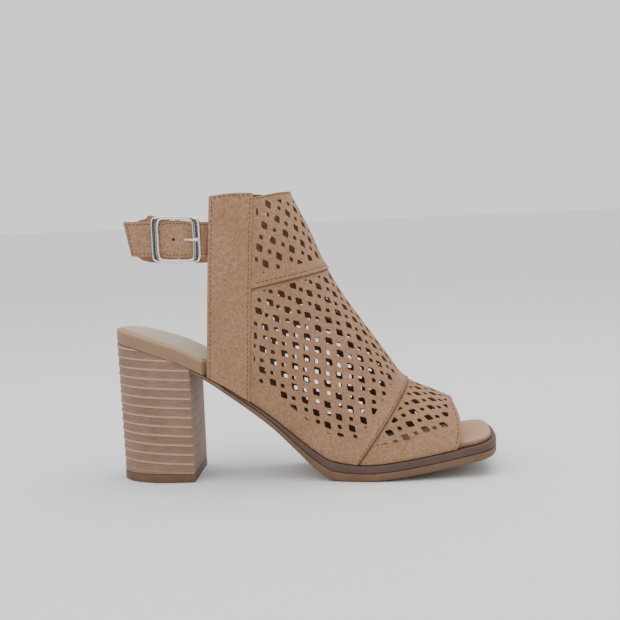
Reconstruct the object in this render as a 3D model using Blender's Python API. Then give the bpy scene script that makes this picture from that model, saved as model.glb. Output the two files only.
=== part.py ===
"""A right-foot heeled peep-toe sandal in perforated suede, modelled piece by piece.

The toe points along +X, the outer side of the foot lies towards -Y, and the origin is on the
floor under the middle of the shoe's box.  All sizes are in metres.
"""
import math
from typing import Callable, NamedTuple, Sequence

import bmesh
import bpy
import numpy as np
from mathutils import Vector

MM = 0.001

# Driving dimensions of the shoe
SHOE_LENGTH = 222 * MM
BALL_WIDTH = 77 * MM
HEEL_HEIGHT = 81.6 * MM
TOE_SPRING = 11 * MM
SOLE_THICKNESS = 9 * MM
UPPER_HEIGHT = 141.2 * MM
ANKLE_WIDTH = 58 * MM

# Clearances and walls
GAP = 0.3 * MM
UPPER_WALL = 1.5 * MM
SEAM_STEP = 0.8 * MM
BAND_STEP = 1.0 * MM
WELT_MARGIN = 1.4 * MM
UPPER_FOOT_GAP = 0.3 * MM
EDGE_ROUND = 0.7 * MM

# Welt: its share of the sole's thickness, and how it begins at the arch
WELT_SHARE = 0.45
WELT_START_X = -44 * MM
WELT_START_SHARE = 0.4
WELT_GROWTH = 40 * MM
WELT_LEAD = 5 * MM

# Footbed
INSOLE_THICKNESS = 8.4 * MM
INSOLE_MARGIN = 0.4 * MM
INSOLE_NOTCH = 6 * MM
INSOLE_TOE_MARGIN = 3 * MM
WALL_SLANT = 1.1
SOCK_THICKNESS = 1 * MM
SOCK_MARGIN = 4 * MM
SOCK_END = 0.56
SOCK_END_ROUND = 12 * MM

# Rounding of the sole's outline at its two ends
HEEL_ROUND = 33 * MM
TOE_ROUND = 16 * MM
TOE_SQUARENESS = 3.4

# Stacked heel
BREAST_X = -64.5 * MM
HEEL_TAPER = 0.96
LIFT_THICKNESS = 5 * MM
LAYER_COUNT = 14
LAYER_GROOVE = 0.5 * MM
LAYER_TILT = math.radians(3.5)
LAYER_START = 1.7 * MM
SEAT_CUT_MARGIN = 3 * MM

# Quarter band, seen from the side: the foot of each edge and its top
BAND_BACK_FOOT_X = -54.2 * MM
BAND_BACK_TOP_X = -47.2 * MM
BAND_FRONT_FOOT_X = -30.4 * MM
BAND_FRONT_TOP_X = -22.8 * MM
TOPLINE_DROP = 1.4 * MM
TOE_EDGE_BOW = 3.4 * MM

# How finely the solids are divided
SLAB_STEPS = 34
SLAB_END_STEPS = 7
HEEL_STEPS = 12
COLLAR_SECTION_COUNT = 7
INSTEP_SECTION_COUNT = 13
TOE_SECTION_COUNT = 7
RIDGE_ROWS = 9
BAND_ROWS = 3
SEAM_LAP = 0.2
SEAM_STEP_PANEL = 0.006

# Shading angles in degrees, and what is closed up after a solid is drawn
EDGE_ANGLE = 35.0
UPPER_EDGE_ANGLE = 50.0
MERGE_DISTANCE = 0.004 * MM
SHORTEST_EDGE = 0.002 * MM

# Perforations
HOLE_PITCH_ALONG = 9.45 * MM
HOLE_PITCH_ACROSS = 8.3 * MM
HOLE_ROWS = range(-4, 14, 2)
HOLES_PER_ROW = 14
RULER_STEPS = 1500
LARGE_HOLE_LENGTH = 5.8 * MM
LARGE_HOLE_WIDTH = 3.6 * MM
RIDGE_MARGIN = 6 * MM
SEAM_MARGIN = 8 * MM
EDGE_MARGIN = 6 * MM
FEATHER_MARGIN = 16 * MM

# Straps
STRAP_WIDTH = 20 * MM
STRAP_THICKNESS = 1.6 * MM
STRAP_TUCK = 13 * MM
STRAP_HEIGHT = 140.4 * MM
STRAP_CLIMB = math.radians(2.4)
STRAP_TIP_X = -96.6 * MM
STRAP_TIP_LEAN = -2 * MM
SLING_THICKNESS = 1.3 * MM
SLING_HALF_WIDTH = ANKLE_WIDTH / 2 - UPPER_WALL - GAP - SLING_THICKNESS / 2
SLING_BACK_X = -94.3 * MM
SLING_SQUARENESS = 3.0
SLING_RETURN = 16 * MM
SLING_CREST = 4.4 * MM
SLING_DROP = 5 * MM
SLING_STEPS = 12
SLING_TURN_START = math.radians(-42)
SLING_TURN_END = math.radians(90)
LOOP_TURN = math.radians(125)
LOOP_STEPS = 8
LOOP_CLOSE = 2.2
LOOP_SLOT_BACK = 1.9
LOOP_SLOT_FRONT = 3

# Buckle
BUCKLE_X = -67 * MM
BUCKLE_SET_IN = 1.5 * MM
BUCKLE_LENGTH = 29 * MM
BUCKLE_HEIGHT = 26.6 * MM
BUCKLE_THICKNESS = 2.3 * MM
BUCKLE_SIDE_BAR = 4.6 * MM
BUCKLE_END_BAR = 2.1 * MM
CENTRE_BAR_RADIUS = 1.2 * MM
POST_HALF = 1.6 * MM
PRONG_RADIUS = 0.8 * MM
PRONG_SLOT_NEAR = 0.2 * MM
PRONG_SLOT_FAR = 9.6 * MM
PRONG_SHORT = 0.4 * MM
HOOK_START = math.radians(-150)
HOOK_END = math.radians(90)
HOOK_STEPS = 6
BAR_SIDES = 8
POST_SHARE = 0.8
FRAME_STEPS = 36
FRAME_POWER = 0.26


class SoleStation(NamedTuple):
    """One cross-section of the sole; lengths are shares of the named sizes."""

    along: float
    lateral: float
    medial: float
    rise: float
    spring: float
    thick: float


# along: of SHOE_LENGTH, lateral and medial: of BALL_WIDTH, rise: of HEEL_HEIGHT,
# spring: of TOE_SPRING, thick: of SOLE_THICKNESS
SOLE_STATIONS = (
    SoleStation(0.00, 0.338, 0.338, 1.000, 0.00, 0.00),
    SoleStation(0.06, 0.341, 0.341, 0.967, 0.00, 0.00),
    SoleStation(0.12, 0.343, 0.343, 0.913, 0.00, 0.02),
    SoleStation(0.17, 0.345, 0.344, 0.855, 0.00, 0.10),
    SoleStation(0.215, 0.346, 0.342, 0.783, 0.00, 0.22),
    SoleStation(0.25, 0.345, 0.335, 0.726, 0.00, 0.28),
    SoleStation(0.30, 0.342, 0.316, 0.628, 0.00, 0.44),
    SoleStation(0.36, 0.341, 0.297, 0.504, 0.00, 0.58),
    SoleStation(0.42, 0.348, 0.297, 0.370, 0.00, 0.71),
    SoleStation(0.48, 0.371, 0.315, 0.209, 0.00, 0.93),
    SoleStation(0.53, 0.403, 0.354, 0.080, 0.00, 1.13),
    SoleStation(0.575, 0.434, 0.400, 0.006, 0.00, 1.19),
    SoleStation(0.60, 0.449, 0.425, 0.000, 0.00, 1.12),
    SoleStation(0.66, 0.483, 0.474, 0.000, 0.00, 1.01),
    SoleStation(0.72, 0.500, 0.500, 0.000, 0.10, 1.01),
    SoleStation(0.80, 0.490, 0.498, 0.000, 0.32, 1.02),
    SoleStation(0.88, 0.461, 0.478, 0.000, 0.58, 1.03),
    SoleStation(0.94, 0.434, 0.450, 0.000, 0.79, 1.05),
    SoleStation(1.00, 0.405, 0.424, 0.000, 1.00, 1.07),
)


class RidgeStation(NamedTuple):
    """The upper's top line at one place, above the feather line."""

    along: float
    rise: float
    round_depth: float
    centre: float
    spread: float


# along: of SHOE_LENGTH, rise: of UPPER_HEIGHT, round_depth: of BALL_WIDTH,
# centre: of BALL_WIDTH, towards the inner side, spread: how far the flank takes the ankle's width
RIDGE_STATIONS = (
    RidgeStation(0.230, 1.613, 0.390, 0.000, 1.0),
    RidgeStation(0.483, 1.000, 0.390, 0.000, 1.0),
    RidgeStation(0.527, 0.906, 0.395, 0.004, 0.9),
    RidgeStation(0.574, 0.772, 0.415, 0.010, 0.7),
    RidgeStation(0.613, 0.669, 0.440, 0.016, 0.5),
    RidgeStation(0.653, 0.580, 0.455, 0.020, 0.3),
    RidgeStation(0.698, 0.473, 0.445, 0.024, 0.1),
    RidgeStation(0.734, 0.383, 0.400, 0.026, 0.0),
    RidgeStation(0.757, 0.323, 0.375, 0.028, 0.0),
    RidgeStation(0.775, 0.290, 0.365, 0.030, 0.0),
    RidgeStation(0.797, 0.266, 0.365, 0.030, 0.0),
    RidgeStation(0.833, 0.233, 0.352, 0.030, 0.0),
    RidgeStation(0.871, 0.195, 0.312, 0.030, 0.0),
    RidgeStation(0.892, 0.172, 0.276, 0.030, 0.0),
    RidgeStation(0.914, 0.143, 0.226, 0.030, 0.0),
    RidgeStation(0.941, 0.098, 0.160, 0.030, 0.0),
)


class FanStation(NamedTuple):
    """One section of the upper: where it starts on the ridge and where its foot lies."""

    panel: float
    ridge: float
    foot: float


# panel: 0 to 1 collar, 1 to 2 instep, 2 to 3 toe; ridge: share of SHOE_LENGTH;
# foot: 0 to 1 down the back edge, 1 to 2 along the feather line to the toe opening
FAN_STATIONS = (
    FanStation(0.00, 0.4829, 0.000),
    FanStation(1.00, 0.5752, 0.565),
    FanStation(1.35, 0.6220, 1.000),
    FanStation(1.70, 0.7030, 1.350),
    FanStation(2.00, 0.7750, 1.602),
    FanStation(3.00, 0.8900, 2.000),
)


class PanelGrid(NamedTuple):
    """How the perforations lie on one panel of the upper, between its first and last section."""

    first: float
    last: float
    origin: float
    angle: float
    lean: float
    pitch_along: float
    pitch_across: float
    shift_along: float
    shift_across: float
    foot_share: float


# origin: share of SHOE_LENGTH on the ridge; angle: of the rows, in degrees; lean: of the columns;
# pitch_along and pitch_across: of the named pitches; shift_along and shift_across: in pitches;
# foot_share: of FEATHER_MARGIN
PANEL_GRIDS = (
    PanelGrid(0, 1, 0.483, -63.5, 0.000, 1.015, 1.07, 0.17, 0.00, 1.0),
    PanelGrid(1, 2, 0.575, -50.0, -0.095, 1.000, 0.98, 0.49, 0.53, 1.0),
    PanelGrid(2, 3, 0.775, -20.0, 0.000, 0.985, 0.95, -0.28, 0.24, 0.7),
)


class EdgeRow(NamedTuple):
    """One level of a rounded edge: its inset in EDGE_ROUND and its share of the height."""

    inset: float
    height: float


OUTSOLE_EDGE = (EdgeRow(2.0, 0.0), EdgeRow(0.0, 0.35), EdgeRow(0.0, 0.85), EdgeRow(0.5, 1.0))
WELT_EDGE = (EdgeRow(0.5, 0.0), EdgeRow(0.0, 0.25), EdgeRow(0.0, 0.75), EdgeRow(1.0, 1.0))
INSOLE_EDGE = (EdgeRow(0.0, 0.0), EdgeRow(0.0, 0.75), EdgeRow(0.5, 0.93), EdgeRow(1.6, 1.0))


class LayerRow(NamedTuple):
    """One level of a heel layer: its share of the layer and its depth in LAYER_GROOVE."""

    share: float
    groove: float


LAYER_ROWS = (LayerRow(0.2, 1.0), LayerRow(0.5, 0.0), LayerRow(0.9, 0.0))


class StrapStop(NamedTuple):
    """One place of the buckle strap, from the centre bar back along the frame's half length.

    rise is its share of the way from under the side bars to over the centre bar, and swell
    its share of the room that the frame leaves beside it.
    """

    back: float
    rise: float
    swell: float


STRAP_STOPS = (
    StrapStop(-0.90, 0.00, 0.00),
    StrapStop(-0.62, 0.15, 0.15),
    StrapStop(-0.30, 0.85, 0.80),
    StrapStop(0.00, 1.00, 1.00),
    StrapStop(0.30, 0.85, 0.80),
    StrapStop(0.62, 0.15, 0.15),
    StrapStop(0.90, 0.00, 0.00),
)
STRAP_TIP_REST = 0.75


class Curve:
    """A smooth curve through knots that never overshoots between two of them."""

    def __init__(self, knots: Sequence[float], values: Sequence[float]):
        self.knots = np.asarray(knots, float)
        self.values = np.asarray(values, float)
        slopes = np.diff(self.values) / np.diff(self.knots)
        self.tangents = np.zeros_like(self.knots)
        self.tangents[0] = slopes[0]
        self.tangents[-1] = slopes[-1]
        for index in range(1, len(slopes)):
            before, after = slopes[index - 1], slopes[index]
            if before * after > 0:
                self.tangents[index] = 2 * before * after / (before + after)

    def __call__(self, place):
        place = np.clip(place, self.knots[0], self.knots[-1])
        index = np.clip(np.searchsorted(self.knots, place) - 1, 0, len(self.knots) - 2)
        width = self.knots[index + 1] - self.knots[index]
        share = (place - self.knots[index]) / width
        start = (1 + 2 * share) * (1 - share) ** 2 * self.values[index]
        end = share ** 2 * (3 - 2 * share) * self.values[index + 1]
        leave = share * (1 - share) ** 2 * self.tangents[index]
        arrive = share ** 2 * (share - 1) * self.tangents[index + 1]
        return start + end + width * (leave + arrive)


def column(stations: Sequence[NamedTuple], name: str) -> Curve:
    """The curve of one named column of a station table against its first column."""
    return Curve([row[0] for row in stations], [getattr(row, name) for row in stations])


# The frame's section: share of the way in from its rim, share of its thickness outward
FRAME_SECTION = ((0.0, -0.5), (0.0, 0.2), (0.2, 0.5), (0.8, 0.5), (1.0, 0.2), (1.0, -0.5))

LATERAL, MEDIAL = -1, 1
OUTLINE = {LATERAL: column(SOLE_STATIONS, "lateral"), MEDIAL: column(SOLE_STATIONS, "medial")}
SOLE_RISE = column(SOLE_STATIONS, "rise")
SOLE_SPRING = column(SOLE_STATIONS, "spring")
SOLE_THICK = column(SOLE_STATIONS, "thick")
RIDGE_RISE = column(RIDGE_STATIONS, "rise")
RIDGE_ROUND = column(RIDGE_STATIONS, "round_depth")
RIDGE_CENTRE = column(RIDGE_STATIONS, "centre")
RIDGE_SPREAD = column(RIDGE_STATIONS, "spread")
FAN_RIDGE = column(FAN_STATIONS, "ridge")
FAN_FOOT = column(FAN_STATIONS, "foot")
INSOLE_SHARE = Curve((0.0, 0.26, 0.42, 0.60, 1.0), (1.0, 1.0, 0.75, 0.5, 0.36))


def share_along(x):
    """Where x lies between heel and toe, from 0 to 1."""
    return (x + SHOE_LENGTH / 2) / SHOE_LENGTH


def place_along(share):
    """The x of a share of the shoe's length."""
    return share * SHOE_LENGTH - SHOE_LENGTH / 2


def sole_half_width(x, side: int, inset: float = 0.0):
    """From the centre line to the sole's edge, pulled in by inset all round."""
    half_length = SHOE_LENGTH / 2 - inset
    to_heel = 1 - np.clip((x + half_length) / HEEL_ROUND, 0, 1)
    to_toe = 1 - np.clip((half_length - x) / TOE_ROUND, 0, 1)
    rounding = np.sqrt(1 - to_heel ** 2) * (1 - to_toe ** TOE_SQUARENESS) ** (1 / TOE_SQUARENESS)
    return (OUTLINE[side](share_along(x)) * BALL_WIDTH - inset) * rounding


def tread_height(x):
    """The sole's underside above the floor."""
    share = share_along(x)
    return SOLE_RISE(share) * HEEL_HEIGHT + SOLE_SPRING(share) * TOE_SPRING


def feather_height(x):
    """The line where the upper meets the sole."""
    return tread_height(x) + SOLE_THICK(share_along(x)) * SOLE_THICKNESS


def ridge_height(x):
    """The highest line of the upper, carried on as a leg above the collar."""
    return feather_height(x) + RIDGE_RISE(share_along(x)) * UPPER_HEIGHT


def flank_half_width(x, z, side: int):
    """The upper's side wall, from the sole's outline below to the ankle's width above."""
    share = share_along(x)
    foot = OUTLINE[side](share) * BALL_WIDTH - WELT_MARGIN
    centre = RIDGE_CENTRE(share) * BALL_WIDTH * side
    climb = np.clip((z - feather_height(x)) / (UPPER_HEIGHT / 2), 0, 1)
    ease = climb * climb * (3 - 2 * climb)
    return foot - centre + (ANKLE_WIDTH / 2 - foot) * ease * RIDGE_SPREAD(share)


def round_share(x, z):
    """0 on the ridge, 1 where the flank turns straight."""
    step = MM / 2
    slope = (ridge_height(x + step) - ridge_height(x - step)) / (2 * step)
    depth = (ridge_height(x) - z) / np.sqrt(1 + slope * slope)
    return np.minimum(depth / (RIDGE_ROUND(share_along(x)) * BALL_WIDTH), 1)


def upper_y(x, z, side: int):
    """The upper's outer face at a point seen from the side."""
    turn = 1 - np.clip(round_share(x, z), 0, 1)
    centre = RIDGE_CENTRE(share_along(x)) * BALL_WIDTH
    return centre + side * flank_half_width(x, z, side) * np.sqrt(1 - turn * turn)


def upper_normal(x, y, z, side: int) -> Vector:
    """The outward direction of the upper's face."""
    step = MM / 10

    def level(px, py, pz):
        offset = py - RIDGE_CENTRE(share_along(px)) * BALL_WIDTH
        across = offset / flank_half_width(px, pz, side)
        return math.sqrt(across * across + (1 - round_share(px, pz)) ** 2)

    gradient = Vector((
        level(x + step, y, z) - level(x - step, y, z),
        level(x, y + step, z) - level(x, y - step, z),
        level(x, y, z + step) - level(x, y, z - step),
    ))
    return gradient.normalized()


def ridge_point(panel: float) -> np.ndarray:
    """Where a section of the upper starts on the ridge, as (x, z)."""
    x = place_along(FAN_RIDGE(panel))
    return np.array((x, ridge_height(x)))


def topline_height() -> float:
    """The collar's height at its front."""
    return ridge_point(0.0)[1]


def back_edge_x(z: float) -> float:
    """The quarter's back edge, a straight line seen from the side."""
    foot = feather_height(BAND_BACK_FOOT_X)
    share = (z - foot) / (topline_height() - foot)
    return BAND_BACK_FOOT_X + share * (BAND_BACK_TOP_X - BAND_BACK_FOOT_X)


def foot_point(panel: float) -> np.ndarray:
    """Where a section of the upper ends, on the back edge or on the feather line."""
    path = float(FAN_FOOT(panel))
    base = feather_height(BAND_BACK_FOOT_X) + UPPER_FOOT_GAP
    top = topline_height() - TOPLINE_DROP
    if path <= 1:
        z = top + path * (base - top)
        return np.array((back_edge_x(z), z))
    toe = place_along(FAN_RIDGE(3.0))
    x = BAND_BACK_FOOT_X + (path - 1) * (toe - BAND_BACK_FOOT_X)
    return np.array((x, feather_height(x) + UPPER_FOOT_GAP))


def section_point(panel: float, share: float) -> np.ndarray:
    """A point of the upper seen from the side, from ridge (0) to foot (1)."""
    start, end = ridge_point(panel), foot_point(panel)
    point = start + share * (end - start)
    point[0] += max(panel - 2, 0) * TOE_EDGE_BOW * 4 * share * (1 - share)
    return point


def band_front_share(panel: float) -> float:
    """Where the quarter band's front edge crosses a section of the upper."""
    start, end = ridge_point(panel), foot_point(panel)
    foot = np.array((BAND_FRONT_FOOT_X, feather_height(BAND_FRONT_FOOT_X)))
    top = np.array((BAND_FRONT_TOP_X, topline_height()))
    lean = (top[0] - foot[0]) / (top[1] - foot[1])
    run = end - start
    share = (foot[0] + lean * (start[1] - foot[1]) - start[0]) / (run[0] - lean * run[1])
    return float(share) if 0 < share < 1 else 1.0


# Where the straps come out from under the quarters
BAND_TUCK_X = back_edge_x(STRAP_HEIGHT)


def make_object(name: str, mesh: bpy.types.Mesh, material: bpy.types.Material):
    """Link a mesh into the scene as a named object."""
    item = bpy.data.objects.new(name, mesh)
    bpy.context.scene.collection.objects.link(item)
    item.data.materials.append(material)
    return item


def make_material(name: str, colour: tuple, roughness: float, metallic: float = 0.0):
    """A plain Principled material."""
    material = bpy.data.materials.new(name)
    material.use_nodes = True
    shader = material.node_tree.nodes["Principled BSDF"]
    shader.inputs["Base Color"].default_value = (*colour, 1.0)
    shader.inputs["Roughness"].default_value = roughness
    shader.inputs["Metallic"].default_value = metallic
    return material


def finish_mesh(name: str, bm: bmesh.types.BMesh, smooth: float = EDGE_ANGLE) -> bpy.types.Mesh:
    """Close up a bmesh whose ends may have run together, and shade it."""
    bmesh.ops.remove_doubles(bm, verts=bm.verts, dist=MERGE_DISTANCE)
    bmesh.ops.dissolve_degenerate(bm, edges=bm.edges, dist=SHORTEST_EDGE)
    bmesh.ops.recalc_face_normals(bm, faces=bm.faces)
    mesh = bpy.data.meshes.new(name)
    bm.to_mesh(mesh)
    bm.free()
    mesh.shade_smooth()
    mesh.set_sharp_from_angle(angle=math.radians(smooth))
    return mesh


def grid_solid(name: str, rings: Sequence[Sequence[tuple]]):
    """A solid through closed rings of points, capped at its first and last ring."""
    bm = bmesh.new()
    loops = [[bm.verts.new(point) for point in ring] for ring in rings]
    size = len(loops[0])
    for lower, upper in zip(loops, loops[1:]):
        for index in range(size):
            after = (index + 1) % size
            bm.faces.new((lower[index], lower[after], upper[after], upper[index]))
    bm.faces.new(loops[0])
    bm.faces.new(loops[-1])
    return finish_mesh(name, bm)


def cut(item, cutter) -> None:
    """Take a cutter's volume out of an object."""
    cutter.hide_render = True
    cutter.display_type = "WIRE"
    modifier = item.modifiers.new(cutter.name, "BOOLEAN")
    modifier.operation = "DIFFERENCE"
    modifier.solver = "EXACT"
    modifier.object = cutter


class SlabRow(NamedTuple):
    """One level of a slab's edge: how far it is pulled in and how high it lies."""

    inset: float
    height: Callable


def slab_places(start: float, end: float, steps: int = SLAB_STEPS) -> list:
    """Places along a slab, closer together where its outline turns round heel and toe."""
    heel, toe = -SHOE_LENGTH / 2, SHOE_LENGTH / 2
    places = {start, end}
    for index in range(SLAB_END_STEPS):
        turn = math.pi / 2 * index / SLAB_END_STEPS
        places.add(heel + HEEL_ROUND * (1 - math.cos(turn)))
        places.add(toe - TOE_ROUND * (1 - math.cos(turn) ** (2 / TOE_SQUARENESS)))
    for index in range(steps + 1):
        share = index / steps
        places.add(heel + HEEL_ROUND + share * (SHOE_LENGTH - HEEL_ROUND - TOE_ROUND))
    return sorted(place for place in places if start <= place <= end)


def slab(name: str, start: float, end: float, rows: Sequence[SlabRow],
         half_width: Callable = sole_half_width, steps: int = SLAB_STEPS) -> bpy.types.Mesh:
    """A plate that follows the sole's outline, built as a ladder of cross-sections."""
    places = slab_places(start, end, steps)
    round_start = start <= -SHOE_LENGTH / 2 + MM
    round_end = end >= SHOE_LENGTH / 2 - MM
    bm = bmesh.new()
    levels = []
    for row in rows:
        first = start + row.inset if round_start else start
        last = end - row.inset if round_end else end
        level = []
        for place in places:
            x = first + (place - start) / (end - start) * (last - first)
            z = float(row.height(x))
            left = -float(half_width(x, LATERAL, row.inset))
            right = float(half_width(x, MEDIAL, row.inset))
            level.append((bm.verts.new((x, left, z)), bm.verts.new((x, right, z))))
        levels.append(level)
    count = len(places)
    for index in range(count - 1):
        for level in (levels[0], levels[-1]):
            near, far = level[index], level[index + 1]
            bm.faces.new((near[0], near[1], far[1], far[0]))
        for lower, upper in zip(levels, levels[1:]):
            for hand in (0, 1):
                bm.faces.new((lower[index][hand], lower[index + 1][hand],
                              upper[index + 1][hand], upper[index][hand]))
    for lower, upper in zip(levels, levels[1:]):
        for index in (0, count - 1):
            bm.faces.new((lower[index][0], lower[index][1], upper[index][1], upper[index][0]))
    return finish_mesh(name, bm)


def welt_thickness(x):
    """The welt thins out towards the arch."""
    grow = np.clip((x - WELT_START_X) / WELT_GROWTH, 0, 1)
    share = WELT_START_SHARE + (1 - WELT_START_SHARE) * grow
    return WELT_SHARE * share * (feather_height(x) - tread_height(x))


def outsole_top(x):
    """The outsole reaches the feather line at the arch and steps down under the welt."""
    step = np.clip((x - WELT_START_X) / WELT_LEAD + 1, 0, 1)
    return feather_height(x) - GAP / 2 - step * (welt_thickness(x) + GAP)


def between(low: Callable, high: Callable, share: float) -> Callable:
    """A height between two others."""
    return lambda x: low(x) + share * (high(x) - low(x))


def edge_rows(edge: Sequence[EdgeRow], low: Callable, high: Callable) -> list:
    """The levels of a slab with a rounded edge between two heights."""
    return [SlabRow(row.inset * EDGE_ROUND, between(low, high, row.height)) for row in edge]


def make_outsole(material):
    """The outsole, from the heel's breast to the toe, with a flat tread under the ball."""
    rows = edge_rows(OUTSOLE_EDGE, tread_height, outsole_top)
    mesh = slab("outsole", BREAST_X + GAP, SHOE_LENGTH / 2, rows)
    return make_object("outsole", mesh, material)


def make_welt(material):
    """The welt strip between outsole and upper, with a rounded side."""
    def top(x):
        return feather_height(x) - GAP / 2

    def base(x):
        return top(x) - welt_thickness(x)

    mesh = slab("welt", WELT_START_X, SHOE_LENGTH / 2, edge_rows(WELT_EDGE, base, top))
    return make_object("welt", mesh, material)


def heel_half_width(x, side: int, inset: float):
    """The heel block's outline, straight from its round back to its breast."""
    half_length = SHOE_LENGTH / 2 - inset
    to_heel = 1 - np.clip((x + half_length) / HEEL_ROUND, 0, 1)
    body = OUTLINE[side](0) * BALL_WIDTH
    return (body - inset) * np.sqrt(1 - to_heel ** 2)


def make_heel_stack(material):
    """The stacked block: grooved layers that lean forward, cut to the seat above."""
    pitch = (HEEL_HEIGHT - LIFT_THICKNESS) / LAYER_COUNT
    back, front = -SHOE_LENGTH / 2, BREAST_X
    middle = (back + front) / 2
    base = LIFT_THICKNESS + GAP
    rows = [SlabRow(heel_inset(base), lambda x: base)]
    for layer in range(1, LAYER_COUNT + 2):
        for row in LAYER_ROWS:
            level = base + (layer - 1 + row.share) * pitch + LAYER_START

            def height(x, level=level):
                return level - (x - middle) * math.tan(LAYER_TILT)

            rows.append(SlabRow(heel_inset(level) + row.groove * LAYER_GROOVE, height))
    mesh = slab("heel_stack", back, front, rows, heel_half_width, HEEL_STEPS)
    block = make_object("heel_stack", mesh, material)

    def seat(x):
        return feather_height(x) - GAP / 2

    rows = (
        SlabRow(-SEAT_CUT_MARGIN, seat),
        SlabRow(-SEAT_CUT_MARGIN, lambda x: seat(x) + HEEL_HEIGHT),
    )
    cutter = slab("seat_cut", back - SEAT_CUT_MARGIN, front + SEAT_CUT_MARGIN, rows,
                  lambda x, side, inset: BALL_WIDTH)
    cut(block, make_object("seat_cut", cutter, material))
    return block


def heel_inset(z: float) -> float:
    """The block is a little narrower at the floor than at the seat."""
    return (1 - HEEL_TAPER) * ANKLE_WIDTH / 2 * (1 - min(z / HEEL_HEIGHT, 1))


def make_heel_lift(material):
    """The rubber top piece under the heel, flat on the floor."""
    rows = (
        SlabRow(heel_inset(0) + EDGE_ROUND / 2, lambda x: 0.0),
        SlabRow(heel_inset(0), lambda x: EDGE_ROUND / 2),
        SlabRow(heel_inset(0), lambda x: LIFT_THICKNESS),
    )
    mesh = slab("heel_lift", -SHOE_LENGTH / 2, BREAST_X, rows, heel_half_width, HEEL_STEPS)
    return make_object("heel_lift", mesh, material)


def insole_thickness(x):
    """The footbed board, thick at the heel seat and thinner under the ball."""
    return INSOLE_THICKNESS * INSOLE_SHARE(share_along(x))


def insole_top(x):
    """The surface the foot stands on."""
    return feather_height(x) + GAP / 2 + insole_thickness(x)


def insole_half_width(x, side: int, inset: float):
    """Flush with the seat behind the upper, and inside its walls further on."""
    open_width = sole_half_width(x, side, inset + INSOLE_MARGIN)
    tucked = np.clip((x - BAND_BACK_FOOT_X + INSOLE_NOTCH) / INSOLE_NOTCH * 2, 0, 1)
    wall_foot = abs(upper_y(x, feather_height(x) + GAP, side))
    wall_above = abs(upper_y(x, insole_top(x), side))
    within = min(wall_foot, wall_above) - UPPER_WALL * WALL_SLANT - 3 * GAP - inset
    freed = np.clip((x - place_along(FAN_RIDGE(3.0)) - TOE_EDGE_BOW) / INSOLE_NOTCH, 0, 1)
    freed_width = sole_half_width(x, side, inset + INSOLE_TOE_MARGIN)
    within = min(within, freed_width) if freed < 1 else freed_width
    tucked_width = within + freed * (freed_width - within)
    return open_width + tucked * (tucked_width - open_width)


def make_insole(material):
    """The wrapped footbed board, with a rounded upper edge."""
    def base(x):
        return feather_height(x) + GAP / 2

    mesh = slab("insole", -SHOE_LENGTH / 2 + INSOLE_MARGIN, SHOE_LENGTH / 2 - INSOLE_TOE_MARGIN,
                edge_rows(INSOLE_EDGE, base, insole_top), insole_half_width)
    return make_object("insole", mesh, material)


def make_sock_lining(material):
    """The thin lining glued on the footbed under heel and arch."""
    start = -SHOE_LENGTH / 2 + SOCK_MARGIN
    end = place_along(SOCK_END)

    def half_width(x, side, inset):
        tip = np.clip((end - x) / SOCK_END_ROUND, 0, 1)
        width = insole_half_width(x, side, SOCK_MARGIN)
        return (width - inset) * np.sqrt(1 - (1 - tip) ** 2) + GAP

    def base(x):
        return insole_top(x) + GAP

    rows = (
        SlabRow(0.0, base),
        SlabRow(0.0, lambda x: base(x) + SOCK_THICKNESS),
    )
    mesh = slab("sock_lining", start, end, rows, half_width)
    return make_object("sock_lining", mesh, material)


def section_rows(panel: float) -> list:
    """The shares of one half section, with the quarter band's step; each with its rise."""
    front = band_front_share(panel)
    start, end = ridge_point(panel), foot_point(panel)
    length = float(np.linalg.norm(end - start))
    rows = []
    for index in range(RIDGE_ROWS + 1):
        share = 1 - math.sin(math.pi / 2 * (1 - index / RIDGE_ROWS))
        rows.append((front * share, 0.0))
    step = min(BAND_STEP / 3 / length, 1 - front)
    rise = BAND_STEP if front < 1 else 0.0
    for index in range(BAND_ROWS + 1):
        rows.append((front + step + (1 - front - step) * index / BAND_ROWS, rise))
    return rows


def seam_rise(panel: float) -> float:
    """The collar laps over the instep panel, and that one over the toe, at a raised edge."""
    rise = 0.0
    for seam in (1, 2):
        if seam - SEAM_LAP < panel < seam:
            rise = SEAM_STEP * (1 - (seam - panel) / SEAM_LAP)
    return rise


def upper_sections() -> list:
    """Each panel's sections, two of them close together at each seam."""
    places = []
    counts = (COLLAR_SECTION_COUNT, INSTEP_SECTION_COUNT, TOE_SECTION_COUNT)
    for first, count in enumerate(counts):
        low = first + SEAM_STEP_PANEL if first > 0 else 0.0
        high = first + 1 - SEAM_STEP_PANEL if first < 2 else 3.0
        places.extend(np.linspace(low, high, count))
    return places


def wall_points(panel: float, side: int) -> list:
    """Outer and inner face points of one half section, from the foot up to the ridge."""
    points = []
    lap = seam_rise(panel)
    for share, rise in reversed(section_rows(panel)):
        x, z = section_point(panel, share)
        y = float(upper_y(x, z, side))
        normal = upper_normal(x, y, z, side)
        if share == 0:
            normal.y = 0.0
            normal.normalize()
        outer = Vector((x, y, z)) + normal * (rise or lap)
        inner = Vector((x, y, z)) - normal * UPPER_WALL
        if share == 1 and FAN_FOOT(panel) >= 1:
            outer.z = feather_height(outer.x) + UPPER_FOOT_GAP
            inner.z = feather_height(inner.x) + UPPER_FOOT_GAP
        points.append((outer, inner))
    return points


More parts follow.
